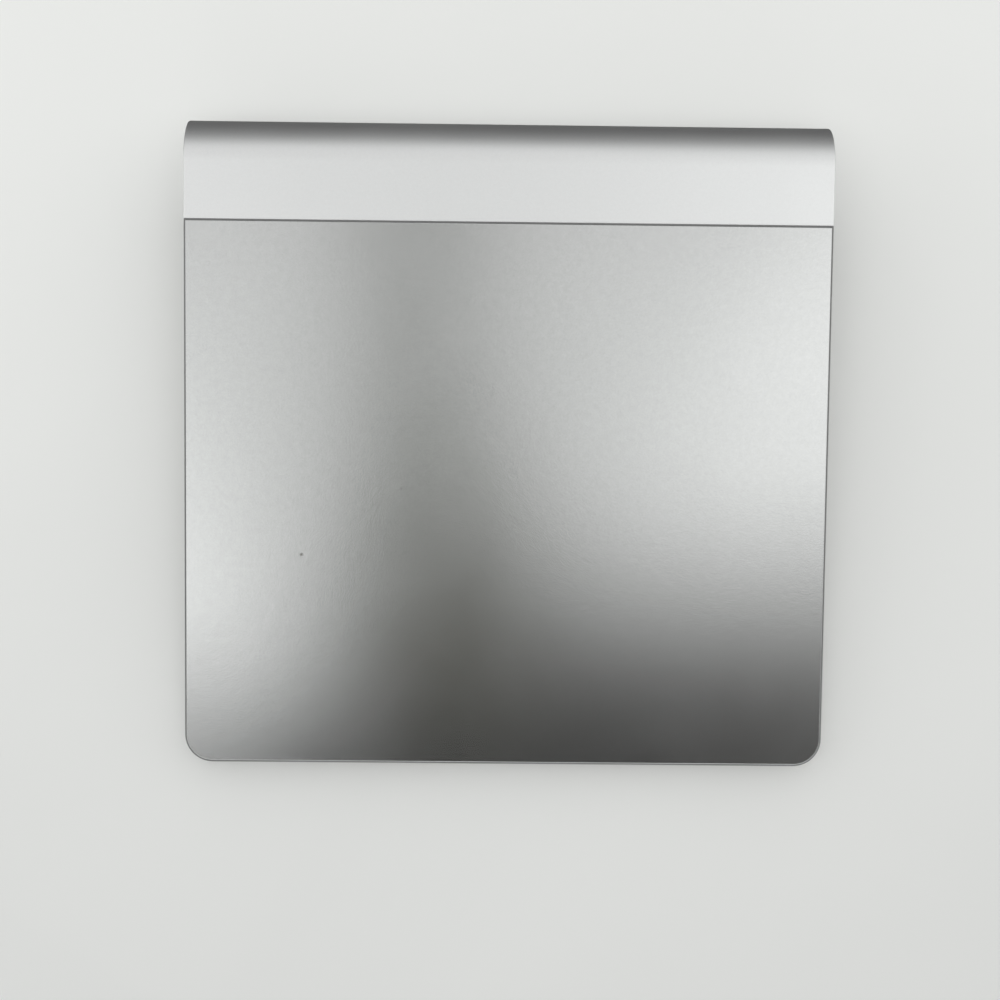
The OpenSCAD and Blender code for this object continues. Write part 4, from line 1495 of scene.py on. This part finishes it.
@dataclass(frozen=True)
class Softbox:
    """A flat studio lamp that faces the middle of the object, in metres."""

    name: str
    place: Point
    width: float
    depth: float
    radiance: float

    def build(self) -> None:
        """Hang the lamp."""
        lamp = bpy.data.lights.new(self.name, "AREA")
        lamp.shape, lamp.size, lamp.size_y = "RECTANGLE", self.width, self.depth
        lamp.energy = self.radiance * math.pi * self.width * self.depth
        holder = bpy.data.objects.new(self.name, lamp)
        holder.location = self.place
        holder.rotation_euler = (-Vector(self.place)).to_track_quat("-Z", "Y").to_euler()
        holder.visible_camera = False
        bpy.context.scene.collection.objects.link(holder)


@dataclass(frozen=True)
class Flag:
    """A card of one tone with soft edges, which only reflections see, in metres.

    A shade is a card that only soft light sees.
    """

    name: str
    place: Point
    width: float
    depth: float
    level: float
    feather: Span
    colour: Colour = (1.0, 1.0, 1.0)
    tilt: float = 0.0
    is_shade: bool = False

    def build(self) -> None:
        """Hang the card."""
        bpy.ops.object.select_all(action="DESELECT")
        bpy.ops.mesh.primitive_plane_add(size=1.0)
        card = bpy.context.object
        card.name = self.name
        card.scale = (self.width, self.depth, 1.0)
        bpy.ops.object.transform_apply(location=False, rotation=False, scale=True)
        card.location = self.place
        card.rotation_euler = (self.tilt, 0.0, 0.0)
        card.visible_camera = card.visible_shadow = False
        card.visible_transmission = card.visible_volume_scatter = False
        card.visible_diffuse, card.visible_glossy = self.is_shade, not self.is_shade
        card.data.materials.append(self.cloth())

    def cloth(self) -> bpy.types.Material:
        """Weave the card's cloth, which thins out towards its edges.

        Returns:
            The new material.
        """
        material = bpy.data.materials.new(self.name)
        material.use_nodes = True
        nodes = Nodes(material.node_tree)
        nodes.tree.nodes.remove(nodes.tree.nodes["Principled BSDF"])
        place = nodes.add("ShaderNodeSeparateXYZ", {0: nodes.place()})
        inside = 1.0
        for axis, size in enumerate((self.width, self.depth)):
            reach = nodes.math("ABSOLUTE", place.outputs[axis])
            fade = (size / 2 - self.feather[axis], size / 2)
            edge = nodes.ramp(reach, fade, (1.0, 0.0), interpolation_type="SMOOTHSTEP")
            inside = nodes.math("MULTIPLY", edge, inside)
        clear = nodes.add("ShaderNodeBsdfTransparent")
        glow = nodes.add("ShaderNodeEmission", {"Color": (*self.colour, 1.0), "Strength": self.level})
        mixed = nodes.add("ShaderNodeMixShader", {0: inside, 1: clear.outputs[0], 2: glow.outputs[0]})
        nodes.feed(nodes.tree.nodes["Material Output"].inputs[0], mixed.outputs[0])
        return material


@dataclass
class Studio:
    """Pale floor, soft lamps, reflection cards and the pale surroundings."""

    floor_colour: Colour = (0.89, 0.89, 0.875)
    floor_mottle: float = 0.015
    floor_drift: float = 120.0
    floor_roughness: float = 0.6
    floor_radius: float = 30.0
    floor_sides: int = 96
    pale: Colour = (0.985, 1.0, 0.992)
    ambient: float = 1.0
    lamps: tuple[Softbox, ...] = (
        Softbox("ceiling_softbox", place=(0.36, -0.166, 1.1), width=0.96, depth=0.376, radiance=0.465),
        Softbox("left_softbox", place=(-0.42, -0.235, 1.0), width=0.76, depth=0.38, radiance=0.52),
        Softbox("front_strip", place=(0.0, -0.9, 0.22), width=1.4, depth=0.25, radiance=0.25),
        Softbox("left_strip", place=(-0.9, 0.0, 0.22), width=1.4, depth=0.25, radiance=0.37),
    )
    flags: tuple[Flag, ...] = (
        Flag("front_flag", place=(0.36, -0.242, 0.42), width=0.967, depth=0.356, level=0.045,
             feather=(0.097, 0.122), colour=(1.0, 0.96, 0.91)),
        Flag("corner_flag", place=(-0.243, -0.28, 0.425), width=0.724, depth=0.302, level=0.065,
             feather=(0.06, 0.15)),
        Flag("middle_flag", place=(-0.052, -0.1, 0.88), width=0.105, depth=1.2, level=0.31,
             feather=(0.015, 0.1), colour=(0.965, 1.0, 0.94)),
        Flag("inner_flag", place=(-0.02, -0.227, 0.405), width=0.122, depth=0.465, level=0.07,
             feather=(0.055, 0.153), colour=(1.0, 0.98, 0.7)),
        Flag("low_flag", place=(-0.015, -0.306, 0.4), width=0.32, depth=0.318, level=0.0,
             feather=(0.11, 0.08)),
        Flag("rear_flag", place=(-0.25, 0.3, 0.0), width=1.7, depth=0.78, level=0.2,
             feather=(0.5, 0.35), tilt=math.radians(90.0)),
        Flag("upper_flag", place=(-0.35, 0.38, 0.95), width=1.4, depth=0.8, level=0.92,
             feather=(0.15, 0.1)),
        Flag("rear_floor_flag", place=(0.0, 0.1775, 0.0005), width=0.6, depth=0.235, level=0.12,
             feather=(0.01, 0.005)),
        Flag("front_shade", place=(0.119, -0.55, 0.42), width=1.45, depth=0.97, level=0.2,
             feather=(0.08, 0.14), is_shade=True),
    )

    def build(self) -> None:
        """Set up the floor, the lamps, the cards and the world."""
        self.floor()
        for stand in (*self.lamps, *self.flags):
            stand.build()
        self.world()
        bpy.context.scene.view_settings.view_transform = "Standard"

    def floor(self) -> None:
        """Lay the floor."""
        bpy.ops.object.select_all(action="DESELECT")
        bpy.ops.mesh.primitive_circle_add(vertices=self.floor_sides, radius=self.floor_radius,
                                          fill_type="NGON")
        floor = bpy.context.object
        floor.name = "studio_floor"
        floor.data.materials.append(self.tabletop())

    def tabletop(self) -> bpy.types.Material:
        """Make the floor's pale matt surface, which can't be seen from below.

        Returns:
            The new material.
        """
        material = bpy.data.materials.new("pale_tabletop")
        material.use_nodes = True
        nodes = Nodes(material.node_tree)
        top = nodes.tree.nodes["Principled BSDF"]
        top.inputs["Roughness"].default_value = self.floor_roughness
        top.inputs["Specular IOR Level"].default_value = 0.0
        drift = nodes.group(Effect.DRIFT, size=self.floor_drift).outputs["Shade"]
        dark, light = (tint(self.floor_colour, 1.0 + sign * self.floor_mottle) for sign in (-1, 1))
        nodes.feed(top.inputs["Base Color"], nodes.blend(drift, dark, light))
        below = nodes.add("ShaderNodeNewGeometry").outputs["Backfacing"]
        clear = nodes.add("ShaderNodeBsdfTransparent")
        mixed = nodes.add("ShaderNodeMixShader", {0: below, 1: top.outputs[0], 2: clear.outputs[0]})
        nodes.feed(nodes.tree.nodes["Material Output"].inputs[0], mixed.outputs[0])
        return material

    def world(self) -> None:
        """Surround the object with one pale tone."""
        world = bpy.data.worlds.new("studio_world")
        world.use_nodes = True
        bpy.context.scene.world = world
        ambient = world.node_tree.nodes["Background"]
        ambient.inputs["Color"].default_value = (*self.pale, 1.0)
        ambient.inputs["Strength"].default_value = self.ambient


@dataclass
class Viewpoint:
    """Camera of the photograph, fitted to its seam, edges and corners.

    Its place is in millimetres, its turn in degrees, and its near and far limits in metres.
    """

    place: Point = (-5.01, -21.81, 339.07)
    turn: Point = (1.8, -0.67, 0.562)
    focal_pixels: float = 1622.8
    image_pixels: float = 1000.0
    sensor: float = 36.0
    limits: Span = (0.01, 100.0)

    def build(self) -> None:
        """Set up the camera and make it the scene's own."""
        camera = bpy.data.cameras.new("photo_camera")
        camera.sensor_width = self.sensor
        camera.lens = self.focal_pixels / self.image_pixels * self.sensor
        camera.clip_start, camera.clip_end = self.limits
        holder = bpy.data.objects.new("photo_camera", camera)
        holder.location = Vector(self.place) * MM
        holder.rotation_euler = [math.radians(angle) for angle in self.turn]
        bpy.context.scene.collection.objects.link(holder)
        bpy.context.scene.camera = holder


def main() -> None:
    """Build every sub-assembly, the studio and the camera."""
    logging.basicConfig(level=logging.INFO, format="%(message)s")
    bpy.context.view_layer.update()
    layout = Layout()
    palette = Palette(layout)
    for assembly in (Housing, TouchTop, Underside, ClickLeaves, BatteryEnd, PowerEnd, Innards):
        assembly(layout, palette).build()
    Studio().build()
    Viewpoint().build()


if __name__ == "__main__":
    main()
